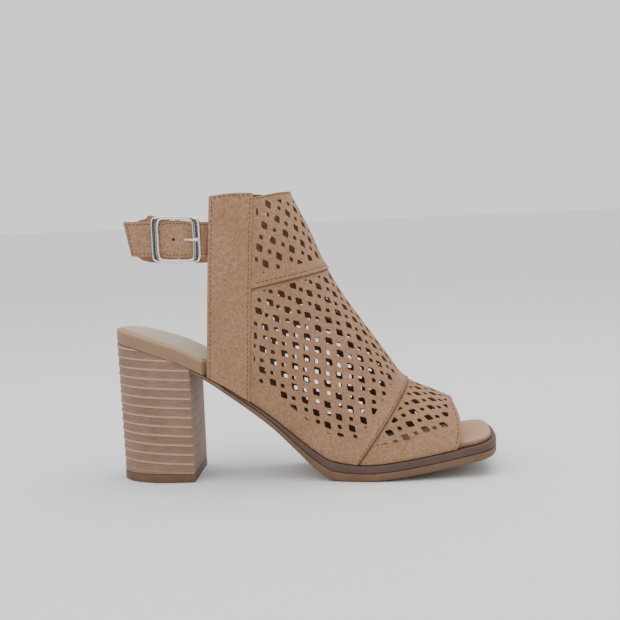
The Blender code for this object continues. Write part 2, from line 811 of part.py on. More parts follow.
def make_upper(material):
    """The hollow suede upper: one wall over collar, instep and toe, with its quarter bands."""
    bm = bmesh.new()
    rings = []
    for panel in upper_sections():
        lateral = wall_points(panel, LATERAL)
        medial = wall_points(panel, MEDIAL)
        path = lateral + medial[-2::-1]
        outer = [bm.verts.new(pair[0]) for pair in path]
        inner = [bm.verts.new(pair[1]) for pair in path]
        rings.append((outer, inner))
    count = len(rings[0][0])
    for (outer, inner), (next_outer, next_inner) in zip(rings, rings[1:]):
        for low, high in ((outer, next_outer), (inner, next_inner)):
            for index in range(count - 1):
                bm.faces.new((low[index], low[index + 1], high[index + 1], high[index]))
        for index in (0, count - 1):
            bm.faces.new((outer[index], inner[index], next_inner[index], next_outer[index]))
    for outer, inner in (rings[0], rings[-1]):
        for index in range(count - 1):
            bm.faces.new((outer[index], outer[index + 1], inner[index + 1], inner[index]))
    return make_object("upper", finish_mesh("upper", bm, UPPER_EDGE_ANGLE), material)


def line_distance(point: np.ndarray, start: np.ndarray, end: np.ndarray) -> float:
    """How far a point lies to the left of a line seen from the side."""
    run = (end - start) / np.linalg.norm(end - start)
    away = point - start
    return float(run[0] * away[1] - run[1] * away[0])


def on_panel(point: np.ndarray, grid: PanelGrid) -> bool:
    """Whether a hole here keeps its margins to the panel's edges."""
    front_foot = np.array((BAND_FRONT_FOOT_X, feather_height(BAND_FRONT_FOOT_X)))
    front_top = np.array((BAND_FRONT_TOP_X, topline_height()))
    if -line_distance(point, front_foot, front_top) < EDGE_MARGIN:
        return False
    if point[1] - feather_height(point[0]) < FEATHER_MARGIN * grid.foot_share:
        return False
    first = line_distance(point, ridge_point(grid.first), foot_point(grid.first))
    last = -line_distance(point, ridge_point(grid.last), foot_point(grid.last))
    first_margin = EDGE_MARGIN if grid.first == 0 else SEAM_MARGIN / 2
    last_margin = EDGE_MARGIN if grid.last == 3 else SEAM_MARGIN
    return first > first_margin and last > last_margin


def hole_places(grid: PanelGrid) -> list:
    """The middles of a panel's large holes, as (x, z, side)."""
    origin_x = place_along(grid.origin)
    origin = np.array((origin_x, ridge_height(origin_x)))
    angle = math.radians(grid.angle)
    along = np.array((math.cos(angle), math.sin(angle)))
    across = np.array((math.sin(angle), -math.cos(angle))) + grid.lean * along
    pitch_along = grid.pitch_along * HOLE_PITCH_ALONG
    pitch_across = grid.pitch_across * HOLE_PITCH_ACROSS
    reach = np.linspace(-UPPER_HEIGHT / 4, UPPER_HEIGHT, RULER_STEPS)
    places = []
    for row in HOLE_ROWS:
        base = origin + (row + grid.shift_along) * pitch_along * along
        line_x = base[0] + reach * across[0]
        line_z = base[1] + reach * across[1]
        inside = round_share(line_x, line_z) > 0
        if not inside.any():
            continue
        begin = int(np.argmax(inside))
        for side in (LATERAL, MEDIAL):
            line_y = upper_y(line_x, line_z, side)
            points = np.stack((line_x, line_y, line_z))[:, begin:]
            steps = np.linalg.norm(np.diff(points), axis=0)
            travel = np.concatenate(((0.0,), np.cumsum(steps)))
            for step in range(HOLES_PER_ROW):
                goal = (step + grid.shift_across) * pitch_across
                if goal > travel[-1]:
                    break
                place = np.array((np.interp(goal, travel, points[0]),
                                  np.interp(goal, travel, points[2])))
                if goal > RIDGE_MARGIN and on_panel(place, grid):
                    places.append((place[0], place[1], side))
    return places


def hole_cutter(bm: bmesh.types.BMesh, x: float, z: float, side: int, angle: float) -> None:
    """One four-sided prism through the wall, its sides along the panel's grid."""
    step = MM / 2
    y = float(upper_y(x, z, side))
    middle = Vector((x, y, z))
    normal = upper_normal(x, y, z, side)
    turn = math.radians(angle)
    ahead_x, ahead_z = x + step * math.cos(turn), z + step * math.sin(turn)
    along = Vector((ahead_x, float(upper_y(ahead_x, ahead_z, side)), ahead_z)) - middle
    along = (along - normal * along.dot(normal)).normalized()
    across = normal.cross(along)
    corners = []
    for depth in (-2 * UPPER_WALL, 2 * UPPER_WALL):
        for low, high in ((1, 0), (0, 1), (-1, 0), (0, -1)):
            offset = along * (low * LARGE_HOLE_LENGTH / 2) + across * (high * LARGE_HOLE_WIDTH / 2)
            corners.append(bm.verts.new(middle + offset + normal * depth))
    lower, upper = corners[:4], corners[4:]
    bm.faces.new(lower)
    bm.faces.new(upper)
    for index in range(4):
        after = (index + 1) % 4
        bm.faces.new((lower[index], lower[after], upper[after], upper[index]))


def punch_upper(upper, material) -> None:
    """Cut the large holes of each panel through the upper."""
    bm = bmesh.new()
    for grid in PANEL_GRIDS:
        for x, z, side in hole_places(grid):
            hole_cutter(bm, x, z, side, grid.angle)
    cut(upper, make_object("hole_cutters", finish_mesh("hole_cutters", bm), material))


def ring_path(places: Sequence[tuple]) -> tuple:
    """Points of a path in plan with their outward directions."""
    points = [np.array(place, float) for place in places]
    normals = []
    for index in range(len(points)):
        run = points[min(index + 1, len(points) - 1)] - points[max(index - 1, 0)]
        run /= np.linalg.norm(run)
        normals.append(np.array((run[1], -run[0])))
    return points, normals


def ribbon(name: str, plan: Sequence[tuple], heights: Sequence[float], widths: Sequence[float],
           thickness: float, lean: Sequence[float] = ()) -> bpy.types.Mesh:
    """A flat band that stands on its edge along a path in plan."""
    points, normals = ring_path(plan)
    rings = []
    leans = lean or [0.0] * len(points)
    for point, normal, z, width, slant in zip(points, normals, heights, widths, leans):
        ring = []
        for out, up in ((0.5, 0.5), (0.5, -0.5), (-0.5, -0.5), (-0.5, 0.5)):
            x, y = point + normal * out * thickness
            ring.append((x + slant * up, y, z + up * width))
        rings.append(ring)
    return grid_solid(name, rings)


def sling_y(x: float) -> float:
    """The strap's path round the ankle, half of it, seen from above."""
    reach = (BAND_TUCK_X - x) / (BAND_TUCK_X - SLING_BACK_X)
    reach = min(max(reach, 0.0), 1.0)
    return SLING_HALF_WIDTH * (1 - reach ** SLING_SQUARENESS) ** (1 / SLING_SQUARENESS)


def buckle_frame_axes() -> tuple:
    """The buckle's own place: its centre bar, its direction along the strap and outward."""
    step = BUCKLE_LENGTH / 2
    run = np.array((-2 * step, sling_y(BUCKLE_X + step) - sling_y(BUCKLE_X - step)))
    run /= np.linalg.norm(run)
    outward = np.array((-abs(run[1]), -abs(run[0])))
    return np.array((BUCKLE_X, BUCKLE_SET_IN - sling_y(BUCKLE_X))), run, outward


def buckle_point(back: float, out: float) -> tuple:
    """A point in plan given from the centre bar, back along the strap and outward."""
    centre, run, outward = buckle_frame_axes()
    x, y = centre + run * back + outward * out
    return (x, y)


def make_buckle_strap(material):
    """The punched strap: out of the outer quarter, under, over and under the buckle's bars."""
    inner_y = -(ANKLE_WIDTH / 2 - UPPER_WALL - GAP - STRAP_THICKNESS / 2)
    under, over = strap_under_bars(), strap_over_bar()
    half = BUCKLE_LENGTH / 2
    tip = BUCKLE_X - STRAP_TIP_X
    plan = [(BAND_TUCK_X + STRAP_TUCK, inner_y), (BAND_TUCK_X + STRAP_TUCK / 2, inner_y),
            (BAND_TUCK_X - 2 * GAP, inner_y)]
    widths = [STRAP_WIDTH] * len(plan)
    spread = BUCKLE_HEIGHT - 2 * BUCKLE_END_BAR - 3 * GAP - STRAP_WIDTH
    for stop in STRAP_STOPS:
        plan.append(buckle_point(stop.back * half, under + stop.rise * (over - under)))
        widths.append(STRAP_WIDTH + stop.swell * spread)
    plan.extend((buckle_point(STRAP_TIP_REST * tip, under), buckle_point(tip, under)))
    widths.extend((STRAP_WIDTH, STRAP_WIDTH))
    heights = [strap_height(x) for x, _ in plan]
    lean = [0.0] * (len(plan) - 1) + [STRAP_TIP_LEAN]
    mesh = ribbon("buckle_strap", plan, heights, widths, STRAP_THICKNESS, lean)
    strap = make_object("buckle_strap", mesh, material)
    slot = prong_slot("strap_hole", -PRONG_SLOT_FAR, -PRONG_SLOT_NEAR, over)
    cut(strap, make_object("strap_hole", slot, material))
    return strap


def make_sling_strap(material):
    """The strap round the heel: looped over the centre bar, fixed inside the inner quarter."""
    radius = CENTRE_BAR_RADIUS + GAP + SLING_THICKNESS / 2
    near = SLING_THICKNESS / 2 + GAP / 2
    plan = [buckle_point(back, -near) for back in (SLING_RETURN, 0.5 * SLING_RETURN)]
    plan.append(buckle_point(LOOP_CLOSE * radius, -near))
    for step in range(LOOP_STEPS + 1):
        turn = LOOP_TURN * (2 * step / LOOP_STEPS - 1)
        plan.append(buckle_point(-radius * math.cos(turn), radius * math.sin(turn)))
    plan.append(buckle_point(LOOP_CLOSE * radius, near))
    plan.append(buckle_point(0.5 * SLING_RETURN, near))
    plan.append(buckle_point(SLING_RETURN, near))
    loop_count = len(plan)
    for step in range(SLING_STEPS):
        share = step / (SLING_STEPS - 1)
        turn = SLING_TURN_START + share * (SLING_TURN_END - SLING_TURN_START)
        reach = max(math.cos(turn), 0) ** (2 / SLING_SQUARENESS)
        depth = BAND_TUCK_X + (SLING_BACK_X - BAND_TUCK_X) * reach
        x = max(depth, SLING_BACK_X)
        y = SLING_HALF_WIDTH * math.copysign(abs(math.sin(turn)) ** (2 / SLING_SQUARENESS), turn)
        plan.append((x, y))
    plan.append((BAND_TUCK_X + STRAP_TUCK / 2, SLING_HALF_WIDTH))
    plan.append((BAND_TUCK_X + STRAP_TUCK, SLING_HALF_WIDTH))
    heights = []
    for index, (x, y) in enumerate(plan):
        if index < loop_count:
            crest = SLING_CREST * max(BUCKLE_X - x, 0) / SLING_RETURN
            heights.append(strap_height(BUCKLE_X) + crest)
        else:
            share = (y + SLING_HALF_WIDTH) / (2 * SLING_HALF_WIDTH)
            heights.append(STRAP_HEIGHT + SLING_CREST * (1 - share) - SLING_DROP * share)
    widths = [STRAP_WIDTH] * len(plan)
    mesh = ribbon("sling_strap", plan, heights, widths, SLING_THICKNESS)
    strap = make_object("sling_strap", mesh, material)
    slot = prong_slot("loop_slot", -LOOP_SLOT_FRONT * radius, LOOP_SLOT_BACK * radius, 0.0)
    cut(strap, make_object("loop_slot", slot, material))
    return strap


def strap_under_bars() -> float:
    """How far out the buckle strap's middle lies where it passes under the side bars."""
    return GAP / 2 + SLING_THICKNESS + GAP + STRAP_THICKNESS / 2


def strap_over_bar() -> float:
    """How far out the buckle strap's middle lies over the centre bar and the sling's loop."""
    return CENTRE_BAR_RADIUS + GAP + SLING_THICKNESS + GAP + STRAP_THICKNESS / 2


def strap_height(x: float) -> float:
    """The middle of the buckle strap, which climbs a little towards its tip."""
    return STRAP_HEIGHT + math.tan(STRAP_CLIMB) * (BAND_TUCK_X - x)


def buckle_place(back: float, out: float, up: float) -> Vector:
    """A point given from the middle of the upright centre bar; the frame climbs as the strap."""
    x, y = buckle_point(back, out)
    return Vector((x, y, strap_height(BUCKLE_X) + up + back * math.tan(STRAP_CLIMB)))


def buckle_box(name: str, backs: tuple, outs: tuple, ups: tuple) -> bpy.types.Mesh:
    """A block between two limits in each of the buckle's directions."""
    rings = []
    for back in backs:
        rings.append([buckle_place(back, out, up) for out, up in
                      ((outs[0], ups[0]), (outs[1], ups[0]), (outs[1], ups[1]), (outs[0], ups[1]))])
    return grid_solid(name, rings)


def prong_slot(name: str, start: float, end: float, out: float) -> bpy.types.Mesh:
    """The cutter of a slot that the prong passes through."""
    half = PRONG_RADIUS + 2 * GAP
    depth = 4 * STRAP_THICKNESS
    return buckle_box(name, (start, end), (out - depth, out + depth), (-half, half))


def add(item, piece) -> None:
    """Join another closed shape to an object."""
    piece.hide_render = True
    piece.display_type = "WIRE"
    modifier = item.modifiers.new(piece.name, "BOOLEAN")
    modifier.operation = "UNION"
    modifier.solver = "EXACT"
    modifier.object = piece


def make_buckle_frame(material):
    """The rectangular frame with rounded corners, with its centre bar set in behind it."""
    middle = strap_under_bars() + STRAP_THICKNESS / 2 + GAP + BUCKLE_THICKNESS / 2
    bm = bmesh.new()
    rings = []
    for step in range(FRAME_STEPS):
        turn = 2 * math.pi * step / FRAME_STEPS
        ring = []
        for inset, out in FRAME_SECTION:
            half_length = BUCKLE_LENGTH / 2 - inset * BUCKLE_SIDE_BAR
            half_height = BUCKLE_HEIGHT / 2 - inset * BUCKLE_END_BAR
            back = half_length * math.copysign(abs(math.cos(turn)) ** FRAME_POWER, math.cos(turn))
            up = half_height * math.copysign(abs(math.sin(turn)) ** FRAME_POWER, math.sin(turn))
            ring.append(bm.verts.new(buckle_place(back, middle + out * BUCKLE_THICKNESS, up)))
        rings.append(ring)
    for index, ring in enumerate(rings):
        after = rings[(index + 1) % FRAME_STEPS]
        for corner in range(len(ring)):
            following = (corner + 1) % len(ring)
            bm.faces.new((ring[corner], ring[following], after[following], after[corner]))
    frame = make_object("buckle_frame", finish_mesh("buckle_frame", bm), material)
    bar_end = BUCKLE_HEIGHT / 2 - BUCKLE_END_BAR
    bars = []
    for up in (-bar_end - BUCKLE_END_BAR / 2, bar_end + BUCKLE_END_BAR / 2):
        turns = [2 * math.pi * side / BAR_SIDES for side in range(BAR_SIDES)]
        bars.append([buckle_place(CENTRE_BAR_RADIUS * math.cos(turn),
                                  CENTRE_BAR_RADIUS * math.sin(turn), up) for turn in turns])
    add(frame, make_object("centre_bar", grid_solid("centre_bar", bars), material))
    post_height = POST_SHARE * BUCKLE_END_BAR
    for name, low in (("post_top", bar_end), ("post_foot", -bar_end - post_height)):
        limits = (low, low + post_height)
        post = buckle_box(name, (-POST_HALF, POST_HALF), (-POST_HALF, middle), limits)
        add(frame, make_object(name, post, material))
    return frame


def make_buckle_prong(material):
    """The round prong: hooked over the centre bar, out through the strap, onto the side bar."""
    radius = CENTRE_BAR_RADIUS + GAP + PRONG_RADIUS
    rest = (strap_under_bars() + STRAP_THICKNESS / 2 + 2 * GAP + BUCKLE_THICKNESS + PRONG_RADIUS)
    route = []
    for step in range(HOOK_STEPS + 1):
        turn = HOOK_START + step / HOOK_STEPS * (HOOK_END - HOOK_START)
        route.append((radius * math.cos(turn), radius * math.sin(turn)))
    route.append((-1.1 * radius, radius + GAP))
    route.append((-PRONG_SLOT_FAR / 2 - GAP, 0.5 * rest))
    route.append((-BUCKLE_LENGTH / 2 + BUCKLE_SIDE_BAR, rest))
    route.append((-BUCKLE_LENGTH / 2 + PRONG_SHORT, rest))
    curve = bpy.data.curves.new("buckle_prong", "CURVE")
    curve.dimensions = "3D"
    curve.bevel_depth = PRONG_RADIUS
    curve.bevel_resolution = 2
    curve.use_fill_caps = True
    spline = curve.splines.new("POLY")
    spline.points.add(len(route) - 1)
    for point, (back, out) in zip(spline.points, route):
        point.co = (*buckle_place(back, out, 0.0), 1.0)
    return make_object("buckle_prong", curve, material)


def main() -> None:
    """Build the sandal."""
    for item in list(bpy.data.objects):
        bpy.data.objects.remove(item)
    suede = make_material("suede", (0.39, 0.26, 0.18), 0.95)
    make_outsole(make_material("outsole", (0.23, 0.15, 0.09), 0.6))
    make_welt(make_material("welt", (0.16, 0.12, 0.11), 0.6))
    make_heel_stack(make_material("heel_stack", (0.36, 0.24, 0.17), 0.7))
    make_heel_lift(make_material("heel_lift", (0.22, 0.16, 0.12), 0.8))
    make_insole(make_material("insole", (0.42, 0.28, 0.20), 0.95))
    make_sock_lining(make_material("sock_lining", (0.52, 0.45, 0.37), 0.8))
    upper = make_upper(suede)
    punch_upper(upper, suede)
    make_buckle_strap(suede)
    make_sling_strap(suede)
    nickel = make_material("nickel", (0.72, 0.71, 0.69), 0.2, 1.0)
    make_buckle_frame(nickel)
    make_buckle_prong(nickel)


main()
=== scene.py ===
"""Dresses the packed sandal with its suede, stitching, metal, stacked heel, sole and studio.

The toe points along +X, the outer side of the foot lies towards -Y and the floor is at zero.
Sizes are in metres.
"""
from __future__ import annotations

import logging
import math
from dataclasses import dataclass, field
from enum import Enum
from typing import Callable, NamedTuple, Sequence

import bmesh
import bpy
import numpy as np
from mathutils import Matrix, Vector

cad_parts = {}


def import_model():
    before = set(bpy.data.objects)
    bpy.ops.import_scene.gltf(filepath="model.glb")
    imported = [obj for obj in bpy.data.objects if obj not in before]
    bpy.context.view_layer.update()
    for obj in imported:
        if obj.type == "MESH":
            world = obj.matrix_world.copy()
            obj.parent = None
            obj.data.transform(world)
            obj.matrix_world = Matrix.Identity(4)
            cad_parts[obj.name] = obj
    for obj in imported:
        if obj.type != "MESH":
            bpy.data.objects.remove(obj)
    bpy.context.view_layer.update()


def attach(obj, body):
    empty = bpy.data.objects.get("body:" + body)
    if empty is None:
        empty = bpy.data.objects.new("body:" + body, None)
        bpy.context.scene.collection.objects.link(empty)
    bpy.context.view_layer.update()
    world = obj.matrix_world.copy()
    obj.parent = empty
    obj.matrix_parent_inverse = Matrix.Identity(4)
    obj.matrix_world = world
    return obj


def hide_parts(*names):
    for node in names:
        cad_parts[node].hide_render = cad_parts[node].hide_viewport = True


MM = 0.001
BODY = "root"
LOG = logging.getLogger("sandal")

CUT_SLOT = 1
LINING_SLOT = 2
SMOOTH_ANGLE = 38.0
PLATE_ANGLE = 50.0
MERGE_DISTANCE = 0.004 * MM
SHORTEST_EDGE = 0.002 * MM

Array = np.ndarray
Colour = tuple[float, float, float]


class Side(Enum):
    """The two sides of the foot, as the sign of Y."""

    OUTER = -1
    INNER = 1


class Curve:
    """A smooth curve through knots that never overshoots between two of them."""

    def __init__(self, knots: Sequence[float], values: Sequence[float]) -> None:
        """Work out the slopes at the knots.

        Args:
            knots: Rising places along the curve.
            values: The curve's value at each knot.
        """
        self.knots = np.asarray(knots, float)
        self.values = np.asarray(values, float)
        slopes = np.diff(self.values) / np.diff(self.knots)
        before, after = slopes[:-1], slopes[1:]
        turning = before * after > 0
        total = np.where(turning, before + after, 1.0)
        middle = np.where(turning, 2 * before * after / total, 0.0)
        self.tangents = np.concatenate((slopes[:1], middle, slopes[-1:]))

    def __call__(self, place: Array | float) -> Array:
        """The curve's value at a place, held level past its ends."""
        place = np.clip(place, self.knots[0], self.knots[-1])
        index = np.clip(np.searchsorted(self.knots, place) - 1, 0, len(self.knots) - 2)
        width = self.knots[index + 1] - self.knots[index]
        share = (place - self.knots[index]) / width
        start = (1 + 2 * share) * (1 - share) ** 2 * self.values[index]
        end = share ** 2 * (3 - 2 * share) * self.values[index + 1]
        leave = share * (1 - share) ** 2 * self.tangents[index]
        arrive = share ** 2 * (share - 1) * self.tangents[index + 1]
        return start + end + width * (leave + arrive)


class SoleStation(NamedTuple):
    """One cross-section of the sole; lengths are shares of the named sizes."""

    along: float
    outer: float
    inner: float
    rise: float
    spring: float
    thick: float


SOLE_STATIONS = (
    SoleStation(0.00, 0.338, 0.338, 1.000, 0.00, 0.00),
    SoleStation(0.06, 0.341, 0.341, 0.967, 0.00, 0.00),
    SoleStation(0.12, 0.343, 0.343, 0.913, 0.00, 0.02),
    SoleStation(0.17, 0.345, 0.344, 0.855, 0.00, 0.10),
    SoleStation(0.215, 0.346, 0.342, 0.783, 0.00, 0.22),
    SoleStation(0.25, 0.345, 0.335, 0.726, 0.00, 0.28),
    SoleStation(0.30, 0.342, 0.316, 0.628, 0.00, 0.44),
    SoleStation(0.36, 0.341, 0.297, 0.504, 0.00, 0.58),
    SoleStation(0.42, 0.348, 0.297, 0.370, 0.00, 0.71),
    SoleStation(0.48, 0.371, 0.315, 0.209, 0.00, 0.93),
    SoleStation(0.53, 0.403, 0.354, 0.080, 0.00, 1.13),
    SoleStation(0.575, 0.434, 0.400, 0.006, 0.00, 1.19),
    SoleStation(0.60, 0.449, 0.425, 0.000, 0.00, 1.12),
    SoleStation(0.66, 0.483, 0.474, 0.000, 0.00, 1.01),
    SoleStation(0.72, 0.500, 0.500, 0.000, 0.10, 1.01),
    SoleStation(0.80, 0.490, 0.498, 0.000, 0.32, 1.02),
    SoleStation(0.88, 0.461, 0.478, 0.000, 0.58, 1.03),
    SoleStation(0.94, 0.434, 0.450, 0.000, 0.79, 1.05),
    SoleStation(1.00, 0.405, 0.424, 0.000, 1.00, 1.07),
)


class RidgeStation(NamedTuple):
    """The upper's top line at one place, above the line where it meets the sole."""

    along: float
    rise: float
    round_depth: float
    centre: float
    spread: float


RIDGE_STATIONS = (
    RidgeStation(0.230, 1.613, 0.390, 0.000, 1.0),
    RidgeStation(0.483, 1.000, 0.390, 0.000, 1.0),
    RidgeStation(0.527, 0.906, 0.395, 0.004, 0.9),
    RidgeStation(0.574, 0.772, 0.415, 0.010, 0.7),
    RidgeStation(0.613, 0.669, 0.440, 0.016, 0.5),
    RidgeStation(0.653, 0.580, 0.455, 0.020, 0.3),
    RidgeStation(0.698, 0.473, 0.445, 0.024, 0.1),
    RidgeStation(0.734, 0.383, 0.400, 0.026, 0.0),
    RidgeStation(0.757, 0.323, 0.375, 0.028, 0.0),
    RidgeStation(0.775, 0.290, 0.365, 0.030, 0.0),
    RidgeStation(0.797, 0.266, 0.365, 0.030, 0.0),
    RidgeStation(0.833, 0.233, 0.352, 0.030, 0.0),
    RidgeStation(0.871, 0.195, 0.312, 0.030, 0.0),
    RidgeStation(0.892, 0.172, 0.276, 0.030, 0.0),
    RidgeStation(0.914, 0.143, 0.226, 0.030, 0.0),
    RidgeStation(0.941, 0.098, 0.160, 0.030, 0.0),
)


class FanStation(NamedTuple):
    """One section of the upper: where it starts on the ridge and where its foot lies."""

    panel: float
    ridge: float
    foot: float


FAN_STATIONS = (
    FanStation(0.00, 0.4829, 0.000),
    FanStation(1.00, 0.5752, 0.565),
    FanStation(1.35, 0.6220, 1.000),
    FanStation(1.70, 0.7030, 1.350),
    FanStation(2.00, 0.7750, 1.602),
    FanStation(3.00, 0.8900, 2.000),
)


def column(stations: Sequence[NamedTuple], name: str) -> Curve:
    """The curve of one named column of a station table against its first column."""
    return Curve([row[0] for row in stations], [getattr(row, name) for row in stations])


def eased(share: Array | float) -> Array:
    """A share from 0 to 1 that starts and ends gently."""
    share = np.clip(share, 0, 1)
    return share * share * (3 - 2 * share)


def rounded(distance: Array, radius: float) -> Array:
    """A quarter circle: 0 at an edge, 1 from one radius inside it."""
    away = 1 - np.clip(distance / radius, 0, 1)
    return np.sqrt(1 - away * away)


def travelled(points: Array) -> Array:
    """The distance along a line of points, from its start to each of them."""
    steps = np.linalg.norm(np.diff(points, axis=0), axis=1)
    return np.concatenate(((0.0,), np.cumsum(steps)))


def read_off(goal: float, travel: Array, points: Array) -> Array:
    """The point that lies part of the way along a line."""
    return np.array([np.interp(goal, travel, points[:, axis]) for axis in range(3)])


def beside(start: tuple, end: tuple, x: Array, z: Array) -> Array:
    """How far points lie to the left of a straight line, seen from the outer side."""
    run = np.array((end[0] - start[0], end[1] - start[1]))
    run = run / np.linalg.norm(run)
    return run[0] * (z - start[1]) - run[1] * (x - start[0])


class Dent(NamedTuple):
    """A soft groove or bead along a line."""

    depth: float
    width: float

    def at(self, distance: Array) -> Array:
        """How deep it is at a distance from its line."""
        return self.depth * np.exp(-(distance / self.width) ** 2)


@dataclass(frozen=True)
class Last:
    """The form of the foot and sole that every piece of the sandal follows."""

    length: float = 222 * MM
    ball_width: float = 77 * MM
    heel_height: float = 81.6 * MM
    toe_spring: float = 11 * MM
    sole_thickness: float = 9 * MM
    upper_height: float = 141.2 * MM
    ankle_width: float = 58 * MM
    welt_margin: float = 1.4 * MM
    heel_round: float = 33 * MM
    toe_round: float = 16 * MM
    toe_squareness: float = 3.4
    band_back_foot: float = -54.2 * MM
    band_back_top: float = -47.2 * MM
    band_front_foot: float = -30.4 * MM
    band_front_top: float = -22.8 * MM
    topline_drop: float = 1.4 * MM
    toe_bow: float = 3.4 * MM
    gap: float = 0.3 * MM
    outline_outer: Curve = field(default_factory=lambda: column(SOLE_STATIONS, "outer"))
    outline_inner: Curve = field(default_factory=lambda: column(SOLE_STATIONS, "inner"))
    sole_rise: Curve = field(default_factory=lambda: column(SOLE_STATIONS, "rise"))
    sole_spring: Curve = field(default_factory=lambda: column(SOLE_STATIONS, "spring"))
    sole_thick: Curve = field(default_factory=lambda: column(SOLE_STATIONS, "thick"))
    ridge_rise: Curve = field(default_factory=lambda: column(RIDGE_STATIONS, "rise"))
    ridge_round: Curve = field(default_factory=lambda: column(RIDGE_STATIONS, "round_depth"))
    ridge_centre: Curve = field(default_factory=lambda: column(RIDGE_STATIONS, "centre"))
    ridge_spread: Curve = field(default_factory=lambda: column(RIDGE_STATIONS, "spread"))
    fan_ridge: Curve = field(default_factory=lambda: column(FAN_STATIONS, "ridge"))
    fan_foot: Curve = field(default_factory=lambda: column(FAN_STATIONS, "foot"))

    def share(self, x: Array) -> Array:
        """Where x lies between heel and toe, from 0 to 1."""
        return (x + self.length / 2) / self.length

    def place(self, share: Array) -> Array:
        """The x of a share of the shoe's length."""
        return share * self.length - self.length / 2

    def outline(self, share: Array, side: Array) -> Array:
        """Half the sole's width before its ends are rounded."""
        half = np.where(side < 0, self.outline_outer(share), self.outline_inner(share))
        return half * self.ball_width

    def sole_half(self, x: Array, side: Array, inset: float = 0.0) -> Array:
        """From the centre line to the sole's edge.

        Args:
            x: Places along the shoe.
            side: The sign of each side.
            inset: How far the outline is pulled in all round.

        Returns:
            The half widths.
        """
        half_length = self.length / 2 - inset
        to_heel = 1 - np.clip((x + half_length) / self.heel_round, 0, 1)
        to_toe = 1 - np.clip((half_length - x) / self.toe_round, 0, 1)
        power = self.toe_squareness
        ends = np.sqrt(1 - to_heel ** 2) * (1 - to_toe ** power) ** (1 / power)
        return (self.outline(self.share(x), side) - inset) * ends

    def tread(self, x: Array) -> Array:
        """The sole's underside above the floor."""
        share = self.share(x)
        return self.sole_rise(share) * self.heel_height + self.sole_spring(share) * self.toe_spring

    def feather(self, x: Array) -> Array:
        """The line where the upper meets the sole."""
        return self.tread(x) + self.sole_thick(self.share(x)) * self.sole_thickness

    def ridge(self, x: Array) -> Array:
        """The highest line of the upper."""
        return self.feather(x) + self.ridge_rise(self.share(x)) * self.upper_height

    def flank(self, x: Array, z: Array, side: Array) -> Array:
        """The upper's half width, from the sole's outline below to the ankle's above."""
        share = self.share(x)
        foot = self.outline(share, side) - self.welt_margin
        centre = self.ridge_centre(share) * self.ball_width * side
        ease = eased((z - self.feather(x)) / (self.upper_height / 2))
        return foot - centre + (self.ankle_width / 2 - foot) * ease * self.ridge_spread(share)

    def round_share(self, x: Array, z: Array) -> Array:
        """0 on the ridge, 1 where the flank turns straight."""
        step = MM / 2
        slope = (self.ridge(x + step) - self.ridge(x - step)) / (2 * step)
        depth = (self.ridge(x) - z) / np.sqrt(1 + slope * slope)
        return np.minimum(depth / (self.ridge_round(self.share(x)) * self.ball_width), 1)

    def skin_y(self, x: Array, z: Array, side: Array) -> Array:
        """The upper's outer face at points seen from the side."""
        turn = 1 - np.clip(self.round_share(x, z), 0, 1)
        centre = self.ridge_centre(self.share(x)) * self.ball_width
        return centre + side * self.flank(x, z, side) * np.sqrt(1 - turn * turn)

    def skin(self, x: Array, z: Array, side: Array) -> Array:
        """Points of the upper's outer face, one in each row."""
        return np.stack((x, self.skin_y(x, z, side), z), axis=-1)

    def normals(self, points: Array, side: Array) -> Array:
        """The outward directions of the upper's face.

        Args:
            points: Points on the face.
            side: The sign of each point's side.

        Returns:
            One unit direction for each point.
        """
        step = MM / 10

        def level(place: Array) -> Array:
            """A value that is 1 on the face and grows outwards."""
            x, y, z = place[..., 0], place[..., 1], place[..., 2]
            across = (y - self.ridge_centre(self.share(x)) * self.ball_width)
            across = across / self.flank(x, z, side)
            return np.sqrt(across * across + (1 - self.round_share(x, z)) ** 2)

        parts = []
        for axis in range(3):
            move = np.zeros(3)
            move[axis] = step
            parts.append(level(points + move) - level(points - move))
        slope = np.stack(parts, axis=-1)
        return slope / np.linalg.norm(slope, axis=-1, keepdims=True)

    def ridge_point(self, panel: Array) -> tuple[Array, Array]:
        """Where a section of the upper starts on the ridge, as x and z."""
        x = self.place(self.fan_ridge(panel))
        return x, self.ridge(x)

    def topline(self) -> float:
        """The collar's height at its front."""
        return float(self.ridge_point(np.float64(0))[1])

    def band_edge(self, z: Array, foot: float, top: float) -> Array:
        """A straight edge of the quarter band, seen from the side.

        Args:
            z: Heights on the edge.
            foot: The edge's x at the sole.
            top: The edge's x at the collar.

        Returns:
            The x at each height.
        """
        low = self.feather(foot)
        return foot + (z - low) / (self.topline() - low) * (top - foot)

    def foot_point(self, panel: Array) -> tuple[Array, Array]:
        """Where a section of the upper ends, on the back edge or above the sole."""
        path = self.fan_foot(panel)
        base = self.feather(self.band_back_foot) + self.gap
        top = self.topline() - self.topline_drop
        back_z = top + np.minimum(path, 1) * (base - top)
        back_x = self.band_edge(back_z, self.band_back_foot, self.band_back_top)
        toe = self.place(self.fan_ridge(3.0))
        sole_x = self.band_back_foot + (path - 1) * (toe - self.band_back_foot)
        x = np.where(path <= 1, back_x, sole_x)
        return x, np.where(path <= 1, back_z, self.feather(sole_x) + self.gap)

    def section(self, panel: Array, share: Array) -> tuple[Array, Array]:
        """A point of the upper seen from the side.

        Args:
            panel: 0 to 1 collar, 1 to 2 instep, 2 to 3 toe.
            share: 0 on the ridge to 1 at the foot.

        Returns:
            The points' x and z.
        """
        start_x, start_z = self.ridge_point(panel)
        end_x, end_z = self.foot_point(panel)
        bow = np.clip(panel - 2, 0, 1) * self.toe_bow * 4 * share * (1 - share)
        return start_x + share * (end_x - start_x) + bow, start_z + share * (end_z - start_z)


LAST = Last()


